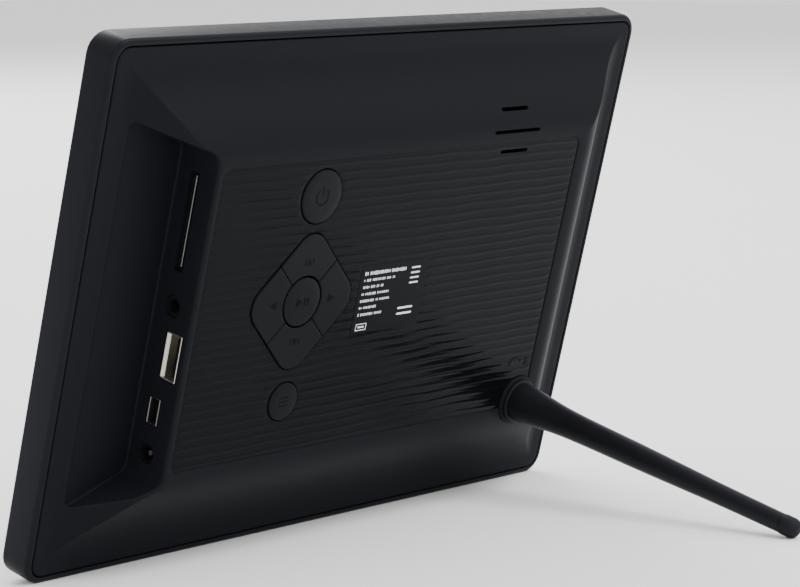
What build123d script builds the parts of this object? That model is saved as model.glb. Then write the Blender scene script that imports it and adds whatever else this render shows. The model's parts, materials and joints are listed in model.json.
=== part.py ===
from build123d import *
import math
import os

# A table-top digital photo frame: a shallow box with a landscape display, a domed back
# cover with a port bay down one side, keys on the back, and one screw-in rod leg.
#
# Everything is drawn upright first, in the panel's own axes: x to the right seen from the
# front, y from the front face towards the back, z up, with x = z = 0 at the panel's
# centre. At the end all pieces are leaned back together, so that the lower back edge and
# the leg's foot both stand on the plane Z = 0. Millimetres throughout.

# ---------------------------------------------------------------- driving dimensions
PANEL_WIDTH = 216.0
PANEL_HEIGHT = 148.0
CORNER_RADIUS = 6.0

# front bezel
BEZEL_DEPTH = 10.0        # front face to the top of the rim round the back cover
BEZEL_FACE = 2.2          # thickness of the front face round the display
BEZEL_WALL = 1.8          # side wall beside the back cover
COVER_LEDGE = 1.2         # step inside the side wall that the back cover sits on
COVER_EDGE = 2.0          # thickness of the back cover's edge, above that step
FRONT_ROUND = 1.0
RIM_ROUND = 1.2
WINDOW_WIDTH = 173.6
WINDOW_HEIGHT = 109.0
WINDOW_CHAMFER = 1.0

# back cover
COVER_GAP = 0.4           # groove between the rim and the back cover
COVER_WALL = 2.0
MARGIN_WIDTH = 3.3        # flat strip inside the groove, before the slope begins
PLATEAU_HEIGHT = 13.0     # top of the back above the rim
PLATEAU_HALF_WIDTH = 78.0
PLATEAU_HALF_HEIGHT = 43.5
PANEL_RECESS = 0.25       # depth of the ribbed field in the plateau
RECESS_SIDE_INSET = 3.4
RECESS_TOP_INSET = 1.5
RECESS_CORNER = 3.0
HOOK_WIDTH = 10.0
HOOK_THICKNESS = 1.2
HOOK_NIB = 0.5
HOOK_LENGTH = 4.6         # how far a hook reaches below the cover's outer edge
HOOK_CLEARANCE = 0.15

# port bay, scooped out of the back cover at +x
BAY_WALL_X = 76.6         # face that the sockets open in
BAY_OUTER_X = 98.5
BAY_INNER_HALF = 45.8
BAY_OUTER_HALF = 53.0
BAY_CORNER = 4.0
BAY_FLOOR_DEPTH = 1.2     # how far the floor has sunk below the rim at the wall
BAY_FLOOR_WALL = 1.4

# display module
DISPLAY_WIDTH = 183.0
DISPLAY_HEIGHT = 120.0
DISPLAY_DEPTH = 4.0
GASKET_THICKNESS = 0.5
GASKET_WIDTH = 2.5
GLASS_THICKNESS = 1.2
FILM_THICKNESS = 0.5
GUIDE_THICKNESS = 1.2
DISPLAY_SHEET = 0.3       # sheet metal of the display's frame and tray
LED_STRIP_WIDTH = 1.6
CLAMP_X = 60.0
CLAMP_SCREW_OFFSET = 5.5  # clamp screw outside the display's edge
CLAMP_SHEET = 0.6
CLAMP_WIDTH = 8.0
CLAMP_LAP = 3.0           # clamp over the display's edge
FRAME_LIP = 3.5           # display frame over the glass
FRAME_SKIRT = 2.4         # display frame down the module's sides
GASKET_SETBACK = 0.8      # gasket behind the window's edge
STRIP_SHORTER = 8.0       # light strip shorter than the guide, both ends together
CLAMP_SCREW_LENGTH = 4.0

# circuit boards
BOARD_THICKNESS = 1.2
BOARD_REAR_Y = 13.1       # rear face of the main board, which carries the sockets
BOARD_LEFT_X = 6.0
BOARD_BOTTOM_Z = -49.0
BOARD_TOP_Z = 47.0
BOARD_CLEARANCE = 0.2
KEY_BOARD_REAR_Y = 17.6
KEY_BOARD_THICKNESS = 1.0
KEY_BOARD_HALF_WIDTH = 21.5
PROCESSOR_X = 30.0
PROCESSOR_Z = -4.0
PROCESSOR_HEIGHT = 1.4
CHIP_SIDE = 20.0
MEMORY_X = (24.0, 37.0)
MEMORY_Z = 26.0
MEMORY_WIDTH = 10.0
MEMORY_HEIGHT = 1.0
COIL_X = 46.0
COIL_Z = (-26.0, -36.0)
COIL_SIDE = 6.0
COIL_HEIGHT = 2.8
CAN_X = (18.0, 26.0, 34.0)
CAN_Z = -43.0
CAN_RADIUS = 2.5
CAN_CLEARANCE = 0.8       # in front of the cans, to the display's back
RIBBON_X = 40.0
RIBBON_WIDTH = 20.0
RIBBON_THICKNESS = 0.2
RIBBON_SOCKET_Z = -30.0
RIBBON_SOCKET_HEIGHT = 1.2

# sockets, each placed by its height on the panel
SD_Z = 25.7
SD_SLOT_LENGTH = 27.0
SD_SLOT_WIDTH = 3.2
SD_BODY_WIDTH = 27.4
SD_BODY_LENGTH = 28.0
SD_BASE = 0.8
SD_HEIGHT = 3.0
JACK_Z = 2.8
JACK_BORE_RADIUS = 1.8
JACK_NOSE_RADIUS = 2.9
JACK_BODY = (12.0, 5.0, 6.4)       # length into the frame, height, width
JACK_DEPTH = 12.5
USB_A_Z = -10.7
USB_A_SHELL = (14.2, 5.7, 13.1)
USB_A_CLEARANCE = 0.3     # shell to the inside of the cover
USB_A_BACK = 2.0          # solid back end of the shell
USB_A_TONGUE = 1.9        # thickness
USB_A_TONGUE_WIDTH = 11.2
TONGUE_OFFSET = 0.2       # tongue's face beyond the mouth's middle
USB_A_PIN_WIDTH = 1.2
USB_A_PIN_OFFSETS = (-3.5, -1.0, 1.0, 3.5)
CONTACT_SHEET = 0.3
SD_PIN_PITCH = 2.5
SD_PIN_WIDTH = 1.0
MINI_USB_Z = -26.8
MINI_USB_SHELL = (9.2, 3.9, 7.7)
MINI_USB_BACK = 1.5
MINI_USB_TONGUE = (1.2, 5.3)
MINI_USB_TONGUE_OFFSET = 0.5
DC_Z = -38.7
DC_BODY = (11.4, 4.8, 7.0)
DC_NOSE_RADIUS = 2.5
DC_HOLE_RADIUS = 2.0
DC_PIN_RADIUS = 0.65
DC_HOLE_DEPTH = 9.5
SHELL_SHEET = 0.3
SOCKET_CLEARANCE = 0.2    # round each socket in the wall of the bay
SOCKET_SETBACK = 0.4      # sockets end this far behind the face of the wall

# keys
KEY_X = 34.9
PAD_Z = 2.1
PAD_SIDE = 31.5           # the turned square of the four-way pad, sharp side
PAD_CORNER = 6.5
PAD_REACH = 13.4          # pad centre to each direction key's switch
POWER_Z = 31.9
POWER_RADIUS = 7.8
PLAY_RADIUS = 7.2
MENU_Z = -26.7
MENU_RADIUS = 5.7
KEY_GAP = 0.25            # gap on each side of a key's outline
PAD_SPLIT = 0.35          # gap between neighbouring direction keys
KEY_PROUD = 0.1           # keys above the plateau
KEY_FLANGE = 0.8
KEY_PLAY = 0.1            # flange below the inside of the cover
KEY_STEM_RADIUS = 2.0
STEM_LENGTH = 0.2
SWITCH_SIDE = 6.0
SWITCH_HEIGHT = 1.6
PLUNGER_RADIUS = 1.75
PLUNGER_CLEARANCE = 0.05
PLUNGER_ENGAGED = 0.4
KEY_TRAVEL = 0.5
SWITCH_WELL_SPARE = 0.2   # room left under a fully pressed plunger

# loudspeaker and its slots
SPEAKER_X = -44.6
SPEAKER_Z = 45.3
SPEAKER_RADIUS = 10.0
SPEAKER_FRONT_Y = 12.8
SPEAKER_RING = 1.5
SLOT_WIDTH = 1.0
SLOT_LENGTHS = (12.0, 20.5, 12.0)
SLOT_PITCH = 5.9
SPEAKER_GASKET = 0.5
SPEAKER_FLANGE = 0.8
BASKET_DEPTH = 2.0
MAGNET_DEPTH = 1.6
MAGNET_RADIUS = 5.5

# rating label
LABEL_X = -2.0
LABEL_Z = 0.0
LABEL_WIDTH = 28.0
LABEL_HEIGHT = 20.0
LABEL_THICKNESS = 0.12

# leg
LEG_X = -70.7
LEG_Z = -40.3
LEG_BOSS_RADIUS = 7.6
LEG_BOSS_HEIGHT = 0.6     # above the plateau
LEG_LENGTH = 102.7        # from the washer to the end of the foot
LEG_BASE_RADIUS = 5.8
LEG_END_RADIUS = 2.75
WASHER_RADIUS = 6.6
WASHER_THICKNESS = 1.0
STUD_RADIUS = 3.0
STUD_ENGAGED = 7.0
STUD_IN_LEG = 14.0
THREAD_CLEARANCE = 0.05
INSERT_RADIUS = 5.0
INSERT_LENGTH = 9.6
INSERT_SETBACK = 0.3
FOOT_RADIUS = 2.95
FOOT_LENGTH = 5.6
FOOT_ROUND = 2.5
SPIGOT_RADIUS = 1.7
SPIGOT_LENGTH = 3.2

# screws, all thread-forming, drawn with plain shanks
SCREW_RADIUS = 0.95
SCREW_CLEARANCE = 0.05
SCREW_HOLE_RADIUS = 1.2
SCREW_HEAD_RADIUS = 1.9
SCREW_HEAD = 0.9
SCREW_LENGTH = 4.5
POST_RADIUS = 3.0
POST_INSET = 3.6          # post's centre from the board's edge
MAIN_POST_HIGH_Z = 36.0
MAIN_POST_LOW_Z = -38.0
POST_FROM_SOCKETS = 12.4
KEY_POST_OFFSET = 18.5
SCREW_SLOT = 0.5
BODY_CLEARANCE = 0.05     # between stacked internal pieces

# ---------------------------------------------------------------- derived levels
HALF_W = PANEL_WIDTH / 2
HALF_H = PANEL_HEIGHT / 2
SEAT_Y = BEZEL_DEPTH - COVER_EDGE
PLATEAU_Y = BEZEL_DEPTH + PLATEAU_HEIGHT
COVER_INSIDE_Y = PLATEAU_Y - COVER_WALL
FIELD_Y = PLATEAU_Y - PANEL_RECESS
COVER_HALF_W = HALF_W - BEZEL_WALL - COVER_GAP
COVER_HALF_H = HALF_H - BEZEL_WALL - COVER_GAP
DISPLAY_Y = BEZEL_FACE + GASKET_THICKNESS
DISPLAY_BACK_Y = DISPLAY_Y + DISPLAY_DEPTH
BOARD_FRONT_Y = BOARD_REAR_Y - BOARD_THICKNESS
BAY_INSIDE_X = BAY_WALL_X - COVER_WALL
BOARD_RIGHT_X = BAY_INSIDE_X - BOARD_CLEARANCE
SOCKET_END_X = BAY_WALL_X - SOCKET_SETBACK
USB_A_BASE = COVER_INSIDE_Y - USB_A_CLEARANCE - USB_A_SHELL[1] - BOARD_REAR_Y
KEY_BOARD_FRONT_Y = KEY_BOARD_REAR_Y - KEY_BOARD_THICKNESS
SWITCH_TOP_Y = KEY_BOARD_REAR_Y + SWITCH_HEIGHT
SWITCH_WELL = PLUNGER_ENGAGED + KEY_TRAVEL + SWITCH_WELL_SPARE
KEY_FLANGE_TOP_Y = COVER_INSIDE_Y - KEY_PLAY
KEY_FLANGE_Y = KEY_FLANGE_TOP_Y - KEY_FLANGE
KEY_FOOT_Y = KEY_FLANGE_Y - STEM_LENGTH
KEY_TOP_Y = PLATEAU_Y + KEY_PROUD
BOSS_TOP_Y = PLATEAU_Y + LEG_BOSS_HEIGHT
LEG_START_Y = BOSS_TOP_Y + WASHER_THICKNESS
LEG_TIP_Y = LEG_START_Y + LEG_LENGTH
CLAMP_Z = DISPLAY_HEIGHT / 2 + CLAMP_SCREW_OFFSET

ROUND_KEYS = {"power_button": (POWER_Z, POWER_RADIUS), "menu_button": (MENU_Z, MENU_RADIUS)}
PAD_KEYS = {"key_up": (0, 1), "key_down": (0, -1), "key_left": (1, 0), "key_right": (-1, 0)}
MAIN_POSTS = [(BOARD_LEFT_X + POST_INSET, MAIN_POST_HIGH_Z), (BOARD_LEFT_X + POST_INSET, MAIN_POST_LOW_Z),
              (BOARD_RIGHT_X - POST_FROM_SOCKETS, BOARD_TOP_Z - POST_INSET),
              (BOARD_RIGHT_X - POST_FROM_SOCKETS - 2, BOARD_BOTTOM_Z + POST_INSET)]
KEY_POSTS = [(KEY_X - KEY_POST_OFFSET, POWER_Z + 5.5), (KEY_X - KEY_POST_OFFSET, MENU_Z - 4.5),
             (KEY_X + KEY_POST_OFFSET, MENU_Z - 4.5), (KEY_X + KEY_POST_OFFSET, PAD_Z - 17.0)]


# ---------------------------------------------------------------- drawing helpers
def plate(outline, y_front, y_back):
    """A flat outline in the panel's plane, made solid from y_front to y_back."""
    return extrude(Plane.XZ.offset(-y_back) * outline, amount=y_back - y_front)


def disc(x, z, radius, y_front, y_back):
    return plate(Pos(x, z) * Circle(radius), y_front, y_back)


def tube(x, z, outer, inner, y_front, y_back):
    return plate(Pos(x, z) * (Circle(outer) - Circle(inner)), y_front, y_back)


def block(x_range, y_range, z_range):
    size = [high - low for low, high in (x_range, y_range, z_range)]
    middle = [(low + high) / 2 for low, high in (x_range, y_range, z_range)]
    return Pos(*middle) * Box(*size)


def across(middle, length):
    return (middle - length / 2, middle + length / 2)


def pipe_x(x_range, y, z, radius):
    """A round bar that lies along x."""
    length = x_range[1] - x_range[0]
    return Pos(sum(x_range) / 2, y, z) * Rot(0, 90, 0) * Cylinder(radius, length)


def group(pieces):
    """Separate solids that share one node."""
    return Compound(children=[piece for piece in pieces])


def screw(x, z, seat_y, length, towards_back=True):
    """A pan-head screw whose head bears on seat_y; the shank runs away from the head."""
    way = 1 if towards_back else -1
    shank_end = seat_y + way * length
    head_end = seat_y - way * SCREW_HEAD
    shank = disc(x, z, SCREW_RADIUS, min(seat_y, shank_end), max(seat_y, shank_end))
    head = disc(x, z, SCREW_HEAD_RADIUS, min(seat_y, head_end), max(seat_y, head_end))
    cross_y = (head_end - SCREW_HEAD / 4, head_end + SCREW_HEAD / 4)
    cross = block(across(x, 2 * SCREW_RADIUS), cross_y, across(z, SCREW_SLOT))
    cross += block(across(x, SCREW_SLOT), cross_y, across(z, 2 * SCREW_RADIUS))
    return shank + head - cross


def dome_section(half_outer, half_margin, half_top, y_base, y_margin, y_top):
    """Closed half-section of the back: upright edge, flat margin, S-shaped slope, flat top."""
    rise = Spline((half_margin, y_margin), (half_top, y_top), tangents=[(-1, 0), (-1, 0)])
    fall = Spline((-half_top, y_top), (-half_margin, y_margin), tangents=[(-1, 0), (-1, 0)])
    top = Line((half_top, y_top), (-half_top, y_top))
    rest = Polyline((-half_margin, y_margin), (-half_outer, y_margin), (-half_outer, y_base),
                    (half_outer, y_base), (half_outer, y_margin), (half_margin, y_margin))
    return make_face(Wire([rise, top, fall] + rest.edges()))


def dome(half_w, half_h, margin_w, margin_h, top_w, top_h, y_base, y_margin, y_top):
    """Two crossed sections: the lower of the two slopes holds, so the corners mitre."""
    along_z = extrude(Plane.XY.offset(-half_h) * dome_section(
        half_w, margin_w, top_w, y_base, y_margin, y_top), amount=2 * half_h)
    side_plane = Plane(origin=(-half_w, 0, 0), x_dir=(0, 0, 1), z_dir=(-1, 0, 0))
    along_x = extrude(side_plane * dome_section(
        half_h, margin_h, top_h, y_base, y_margin, y_top), amount=-2 * half_w)
    return along_z & along_x


# ---------------------------------------------------------------- housing
def hook_places():
    """Middle, direction outwards and wall distance of each snap hook on the back cover."""
    places = [((x, side * 1.0), (0, side)) for x in (-70.0, 0.0, 70.0) for side in (1, -1)]
    places += [((side * 1.0, z), (side, 0)) for z in (-35.0, 35.0) for side in (1, -1)]
    return places


def hook_box(place, near, far, y_range, width):
    """A box at a hook's place, from near to far inside the bezel's lower wall."""
    (x, z), (out_x, out_z) = place
    wall_x = HALF_W - BEZEL_WALL - COVER_LEDGE
    wall_z = HALF_H - BEZEL_WALL - COVER_LEDGE
    if out_z:
        z_range = sorted((out_z * (wall_z + near), out_z * (wall_z + far)))
        return block(across(x, width), y_range, z_range)
    x_range = sorted((out_x * (wall_x + near), out_x * (wall_x + far)))
    return block(x_range, y_range, across(z, width))


def hook_levels():
    tip = BEZEL_DEPTH - HOOK_LENGTH
    return tip, tip + 1.2


def make_bezel():
    outline = RectangleRounded(PANEL_WIDTH, PANEL_HEIGHT, CORNER_RADIUS)
    body = plate(outline, 0, BEZEL_DEPTH)
    body = fillet(body.faces().sort_by(Axis.Y)[0].edges(), FRONT_ROUND)
    body = fillet(body.faces().sort_by(Axis.Y)[-1].edges(), RIM_ROUND)
    for wall, y_front in ((BEZEL_WALL, SEAT_Y), (BEZEL_WALL + COVER_LEDGE, BEZEL_FACE)):
        pocket = RectangleRounded(PANEL_WIDTH - 2 * wall, PANEL_HEIGHT - 2 * wall, CORNER_RADIUS - wall)
        body -= plate(pocket, y_front, BEZEL_DEPTH)
    body -= plate(Rectangle(WINDOW_WIDTH, WINDOW_HEIGHT), 0, BEZEL_FACE)
    window_edges = body.faces().sort_by(Axis.Y)[0].inner_wires()[0].edges()
    body = chamfer(window_edges, WINDOW_CHAMFER)
    for x in (-CLAMP_X, CLAMP_X):
        for z in (-CLAMP_Z, CLAMP_Z):
            body += disc(x, z, POST_RADIUS, BEZEL_FACE, DISPLAY_BACK_Y)
            body -= disc(x, z, SCREW_RADIUS + SCREW_CLEARANCE, BEZEL_FACE, DISPLAY_BACK_Y)
    tip, nib_top = hook_levels()
    for place in hook_places():
        pocket_levels = (tip - HOOK_CLEARANCE, nib_top + HOOK_CLEARANCE)
        reach = HOOK_NIB + HOOK_CLEARANCE
        body -= hook_box(place, -1.0, reach, pocket_levels, HOOK_WIDTH + 4 * HOOK_CLEARANCE)
    return body


def bay_outline(outset):
    """The bay seen from behind, narrower at the socket wall, with rounded inner corners."""
    slope = (BAY_OUTER_HALF - BAY_INNER_HALF) / (BAY_OUTER_X - BAY_WALL_X)
    inner_x = BAY_WALL_X - outset
    inner_half = BAY_INNER_HALF + outset - slope * outset
    outer_x = BAY_OUTER_X + outset
    outer_half = BAY_OUTER_HALF + outset + slope * outset
    points = [(inner_x, -inner_half), (outer_x, -outer_half), (outer_x, outer_half), (inner_x, inner_half)]
    face = make_face(Polyline(*points, close=True))
    inner_corners = face.vertices().sort_by(Axis.X)[0:2]
    return fillet(inner_corners, BAY_CORNER + outset)


def bay_space(outset, floor_drop):
    """The bay as a solid: its outline, above a floor that sinks towards the socket wall."""
    high = 2 * PLATEAU_Y
    low_inner = BEZEL_DEPTH - BAY_FLOOR_DEPTH - floor_drop
    low_outer = BEZEL_DEPTH - floor_drop
    inner_x = BAY_WALL_X - outset - 1
    outer_x = BAY_OUTER_X + outset
    run = (low_outer - low_inner) / (BAY_OUTER_X - BAY_WALL_X)
    side = make_face(Polyline((inner_x, low_inner - run), (outer_x, low_outer), (outer_x, high),
                              (inner_x, high), close=True))
    reach = BAY_OUTER_HALF + 10
    wedge = extrude(Plane.XY.offset(-reach) * side, amount=2 * reach)
    return plate(bay_outline(outset), 0, high) & wedge


def socket_windows():
    """Openings in the bay's wall, one round each socket."""
    through = (BAY_INSIDE_X - 1, BAY_WALL_X + 1)
    gap = 2 * SOCKET_CLEARANCE
    usb_y = BOARD_REAR_Y + USB_A_BASE + USB_A_SHELL[1] / 2
    mini_y = BOARD_REAR_Y + MINI_USB_SHELL[1] / 2
    sd_y = BOARD_REAR_Y + (SD_BASE + SD_HEIGHT) / 2
    cuts = [block(through, across(sd_y, SD_SLOT_WIDTH), across(SD_Z, SD_SLOT_LENGTH)),
            block(through, across(usb_y, USB_A_SHELL[1] + gap), across(USB_A_Z, USB_A_SHELL[2] + gap)),
            block(through, across(mini_y, MINI_USB_SHELL[1] + gap),
                  across(MINI_USB_Z, MINI_USB_SHELL[2] + gap))]
    cuts += [pipe_x(through, BOARD_REAR_Y + JACK_BODY[1] / 2, JACK_Z, JACK_NOSE_RADIUS + SOCKET_CLEARANCE),
             pipe_x(through, BOARD_REAR_Y + DC_BODY[1] / 2, DC_Z, DC_NOSE_RADIUS + SOCKET_CLEARANCE)]
    return cuts


def pad_outline(outset):
    """The four-way pad's outline: a square on its corner, with rounded corners."""
    side = PAD_SIDE + 2 * outset
    return Pos(KEY_X, PAD_Z) * Rot(0, 0, 45) * RectangleRounded(side, side, PAD_CORNER + outset)


def make_cover():
    margin_w = COVER_HALF_W - MARGIN_WIDTH
    margin_h = COVER_HALF_H - MARGIN_WIDTH
    outer = dome(COVER_HALF_W, COVER_HALF_H, margin_w, margin_h, PLATEAU_HALF_WIDTH,
                 PLATEAU_HALF_HEIGHT, SEAT_Y, BEZEL_DEPTH, PLATEAU_Y)
    corner = CORNER_RADIUS - BEZEL_WALL - COVER_GAP
    outer &= plate(RectangleRounded(2 * COVER_HALF_W, 2 * COVER_HALF_H, corner), SEAT_Y, PLATEAU_Y)
    tuck = 0.3 * COVER_WALL
    inner_w = margin_w - tuck
    inner_h = margin_h - tuck
    cavity = dome(inner_w, inner_h, inner_w - 0.1, inner_h - 0.1, PLATEAU_HALF_WIDTH - COVER_WALL / 2,
                  PLATEAU_HALF_HEIGHT - COVER_WALL / 2, SEAT_Y - 1, SEAT_Y + 0.2, COVER_INSIDE_Y)
    cover = outer - cavity

    # The bay: its own walls and floor first, then the space itself.
    filled = outer + plate(RectangleRounded(2 * inner_w, 2 * inner_h, corner), SEAT_Y - 1, SEAT_Y)
    cover += bay_space(COVER_WALL, BAY_FLOOR_WALL) & filled
    cover -= bay_space(0, 0)

    # Posts for the two boards, the loudspeaker's ring and the leg's boss.
    posts = [disc(x, z, POST_RADIUS, BOARD_REAR_Y, COVER_INSIDE_Y + 0.5) for x, z in MAIN_POSTS]
    posts += [disc(x, z, POST_RADIUS, KEY_BOARD_REAR_Y, COVER_INSIDE_Y + 0.5) for x, z in KEY_POSTS]
    ring_outer = SPEAKER_RADIUS + SPEAKER_RING
    posts += [tube(SPEAKER_X, SPEAKER_Z, ring_outer, SPEAKER_RADIUS, SPEAKER_FRONT_Y, PLATEAU_Y) & outer]
    insert_end = BOSS_TOP_Y - INSERT_SETBACK - INSERT_LENGTH
    posts += [disc(LEG_X, LEG_Z, LEG_BOSS_RADIUS, insert_end - COVER_WALL, BOSS_TOP_Y)]
    for post in posts:
        cover += post
    for x, z in MAIN_POSTS:
        cover -= disc(x, z, SCREW_RADIUS + SCREW_CLEARANCE, BOARD_REAR_Y, BOARD_REAR_Y + SCREW_LENGTH)
    for x, z in KEY_POSTS:
        pilot_end = COVER_INSIDE_Y + COVER_WALL / 4
        cover -= disc(x, z, SCREW_RADIUS + SCREW_CLEARANCE, KEY_BOARD_REAR_Y, pilot_end)
    cover -= disc(LEG_X, LEG_Z, INSERT_RADIUS + THREAD_CLEARANCE, insert_end, BOSS_TOP_Y)

    # The ribbed field, the keys' openings, the loudspeaker slots and the socket windows.
    field = RectangleRounded(2 * (PLATEAU_HALF_WIDTH - RECESS_SIDE_INSET),
                             2 * (PLATEAU_HALF_HEIGHT - RECESS_TOP_INSET), RECESS_CORNER)
    field -= Pos(LEG_X, LEG_Z) * Circle(LEG_BOSS_RADIUS)
    cover -= plate(field, FIELD_Y, PLATEAU_Y + 1)
    for z, radius in ROUND_KEYS.values():
        cover -= disc(KEY_X, z, radius + KEY_GAP, COVER_INSIDE_Y - 1, PLATEAU_Y + 1)
    cover -= plate(pad_outline(KEY_GAP), COVER_INSIDE_Y - 1, PLATEAU_Y + 1)
    for row, length in zip((1, 0, -1), SLOT_LENGTHS):
        slot = SlotOverall(length, SLOT_WIDTH)
        slot_z = SPEAKER_Z + row * SLOT_PITCH
        cover -= plate(Pos(SPEAKER_X, slot_z) * slot, SPEAKER_FRONT_Y, PLATEAU_Y + 1)
    for cut in socket_windows():
        cover -= cut

    # Snap hooks that reach down inside the bezel's lower wall.
    tip, nib_top = hook_levels()
    for place in hook_places():
        cover += hook_box(place, -HOOK_CLEARANCE - HOOK_THICKNESS, -HOOK_CLEARANCE, (tip, SEAT_Y + 0.5),
                          HOOK_WIDTH)
        cover += hook_box(place, -HOOK_CLEARANCE - HOOK_THICKNESS / 2, HOOK_NIB - HOOK_CLEARANCE,
                          (tip, nib_top), HOOK_WIDTH)
    return cover


# ---------------------------------------------------------------- display
def make_display():
    """The display module as a stack from the front: gasket, frame, glass, films, guide, tray."""
    nodes = {}
    half_w = DISPLAY_WIDTH / 2
    half_h = DISPLAY_HEIGHT / 2
    sheet = DISPLAY_SHEET
    opening = Rectangle(DISPLAY_WIDTH - 2 * FRAME_LIP, DISPLAY_HEIGHT - 2 * FRAME_LIP)
    reach = GASKET_WIDTH + GASKET_SETBACK
    gasket_outer = Rectangle(WINDOW_WIDTH + 2 * reach, WINDOW_HEIGHT + 2 * reach)
    gasket_inner = Rectangle(WINDOW_WIDTH + 2 * GASKET_SETBACK, WINDOW_HEIGHT + 2 * GASKET_SETBACK)
    nodes["display_gasket"] = plate(gasket_outer - gasket_inner, BEZEL_FACE, DISPLAY_Y)

    frame = plate(Rectangle(DISPLAY_WIDTH, DISPLAY_HEIGHT) - opening, DISPLAY_Y, DISPLAY_Y + sheet)
    skirt = Rectangle(DISPLAY_WIDTH, DISPLAY_HEIGHT)
    skirt -= Rectangle(DISPLAY_WIDTH - 2 * sheet, DISPLAY_HEIGHT - 2 * sheet)
    frame += plate(skirt, DISPLAY_Y, DISPLAY_Y + FRAME_SKIRT)
    nodes["display_frame"] = frame

    inset = sheet + BODY_CLEARANCE
    glass_y = DISPLAY_Y + sheet
    glass = Rectangle(2 * (half_w - inset), 2 * (half_h - inset))
    nodes["display_glass"] = plate(glass, glass_y, glass_y + GLASS_THICKNESS)

    tray_y = glass_y + GLASS_THICKNESS
    tray = plate(glass, tray_y, DISPLAY_BACK_Y)
    well = Rectangle(2 * (half_w - inset - sheet), 2 * (half_h - inset - sheet))
    tray -= plate(well, tray_y, DISPLAY_BACK_Y - sheet)
    nodes["backlight_tray"] = tray

    stack_w = 2 * (half_w - inset - sheet - BODY_CLEARANCE)
    stack_top = half_h - inset - sheet - BODY_CLEARANCE
    films = Rectangle(stack_w, 2 * stack_top)
    nodes["diffuser_films"] = plate(films, tray_y + BODY_CLEARANCE, tray_y + FILM_THICKNESS)
    guide_y = tray_y + FILM_THICKNESS + BODY_CLEARANCE
    strip_top = -stack_top + LED_STRIP_WIDTH
    nodes["light_guide"] = block(across(0, stack_w), (guide_y, guide_y + GUIDE_THICKNESS),
                                 (strip_top + BODY_CLEARANCE, stack_top))
    nodes["led_strip"] = block(across(0, stack_w - STRIP_SHORTER), (guide_y, guide_y + GUIDE_THICKNESS),
                               (-stack_top, strip_top))

    clamps = []
    screws = []
    for side in (-1, 1):
        for x in (-CLAMP_X, CLAMP_X):
            z_range = sorted((side * (half_h - CLAMP_LAP), side * (CLAMP_Z + POST_RADIUS)))
            clamp = block(across(x, CLAMP_WIDTH), (DISPLAY_BACK_Y, DISPLAY_BACK_Y + CLAMP_SHEET), z_range)
            clamp -= disc(x, side * CLAMP_Z, SCREW_HOLE_RADIUS, DISPLAY_BACK_Y, DISPLAY_BACK_Y + CLAMP_SHEET)
            clamps.append(clamp)
            head_y = DISPLAY_BACK_Y + CLAMP_SHEET
            screws.append(screw(x, side * CLAMP_Z, head_y, CLAMP_SCREW_LENGTH, towards_back=False))
    nodes["display_clamps"] = group(clamps)
    nodes["display_screws"] = group(screws)
    return nodes


# ---------------------------------------------------------------- boards
def make_boards():
    nodes = {}
    board = block((BOARD_LEFT_X, BOARD_RIGHT_X), (BOARD_FRONT_Y, BOARD_REAR_Y), (BOARD_BOTTOM_Z, BOARD_TOP_Z))
    for x, z in MAIN_POSTS:
        board -= disc(x, z, SCREW_HOLE_RADIUS, BOARD_FRONT_Y, BOARD_REAR_Y)
    nodes["main_board"] = board
    length = SCREW_LENGTH + BOARD_THICKNESS - 0.5
    nodes["main_board_screws"] = group([screw(x, z, BOARD_FRONT_Y, length) for x, z in MAIN_POSTS])

    rear = BOARD_REAR_Y
    front = BOARD_FRONT_Y
    nodes["processor_chip"] = block(across(PROCESSOR_X, CHIP_SIDE), (rear, rear + PROCESSOR_HEIGHT),
                                    across(PROCESSOR_Z, CHIP_SIDE))
    nodes["memory_chips"] = group([block(across(x, MEMORY_WIDTH), (rear, rear + MEMORY_HEIGHT),
                                         across(MEMORY_Z, CHIP_SIDE)) for x in MEMORY_X])
    nodes["power_coils"] = group([block(across(COIL_X, COIL_SIDE), (rear, rear + COIL_HEIGHT),
                                        across(z, COIL_SIDE)) for z in COIL_Z])
    can_y = DISPLAY_BACK_Y + CAN_CLEARANCE
    nodes["capacitor_cans"] = group([disc(x, CAN_Z, CAN_RADIUS, can_y, front) for x in CAN_X])

    key_top = max(POWER_Z + POWER_RADIUS, KEY_POSTS[0][1] + POST_RADIUS) + 1
    key_low = KEY_POSTS[1][1] - POST_RADIUS - 1
    key_board = block(across(KEY_X, 2 * KEY_BOARD_HALF_WIDTH), (KEY_BOARD_FRONT_Y, KEY_BOARD_REAR_Y),
                      (key_low, key_top))
    for x, z in KEY_POSTS:
        key_board -= disc(x, z, SCREW_HOLE_RADIUS, KEY_BOARD_FRONT_Y, KEY_BOARD_REAR_Y)
    nodes["key_board"] = key_board
    short = KEY_BOARD_THICKNESS + 2.6
    nodes["key_board_screws"] = group([screw(x, z, KEY_BOARD_FRONT_Y, short) for x, z in KEY_POSTS])
    nodes["key_connector"] = block(across(KEY_X - 17, 4), (rear, KEY_BOARD_FRONT_Y), across(10, 12))

    # The display's ribbon lies on the tray, then rises to a socket on the board's front.
    socket_y = front - RIBBON_SOCKET_HEIGHT
    nodes["ribbon_socket"] = block(across(RIBBON_X, RIBBON_WIDTH + 4), (socket_y, front),
                                   across(RIBBON_SOCKET_Z, 4))
    ribbon = block(across(RIBBON_X, RIBBON_WIDTH), (DISPLAY_BACK_Y, DISPLAY_BACK_Y + RIBBON_THICKNESS),
                   (-DISPLAY_HEIGHT / 2 + 1, RIBBON_SOCKET_Z))
    ribbon += block(across(RIBBON_X, RIBBON_WIDTH), (DISPLAY_BACK_Y, socket_y),
                    (RIBBON_SOCKET_Z - RIBBON_THICKNESS, RIBBON_SOCKET_Z))
    nodes["display_ribbon"] = ribbon
    return nodes


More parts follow.
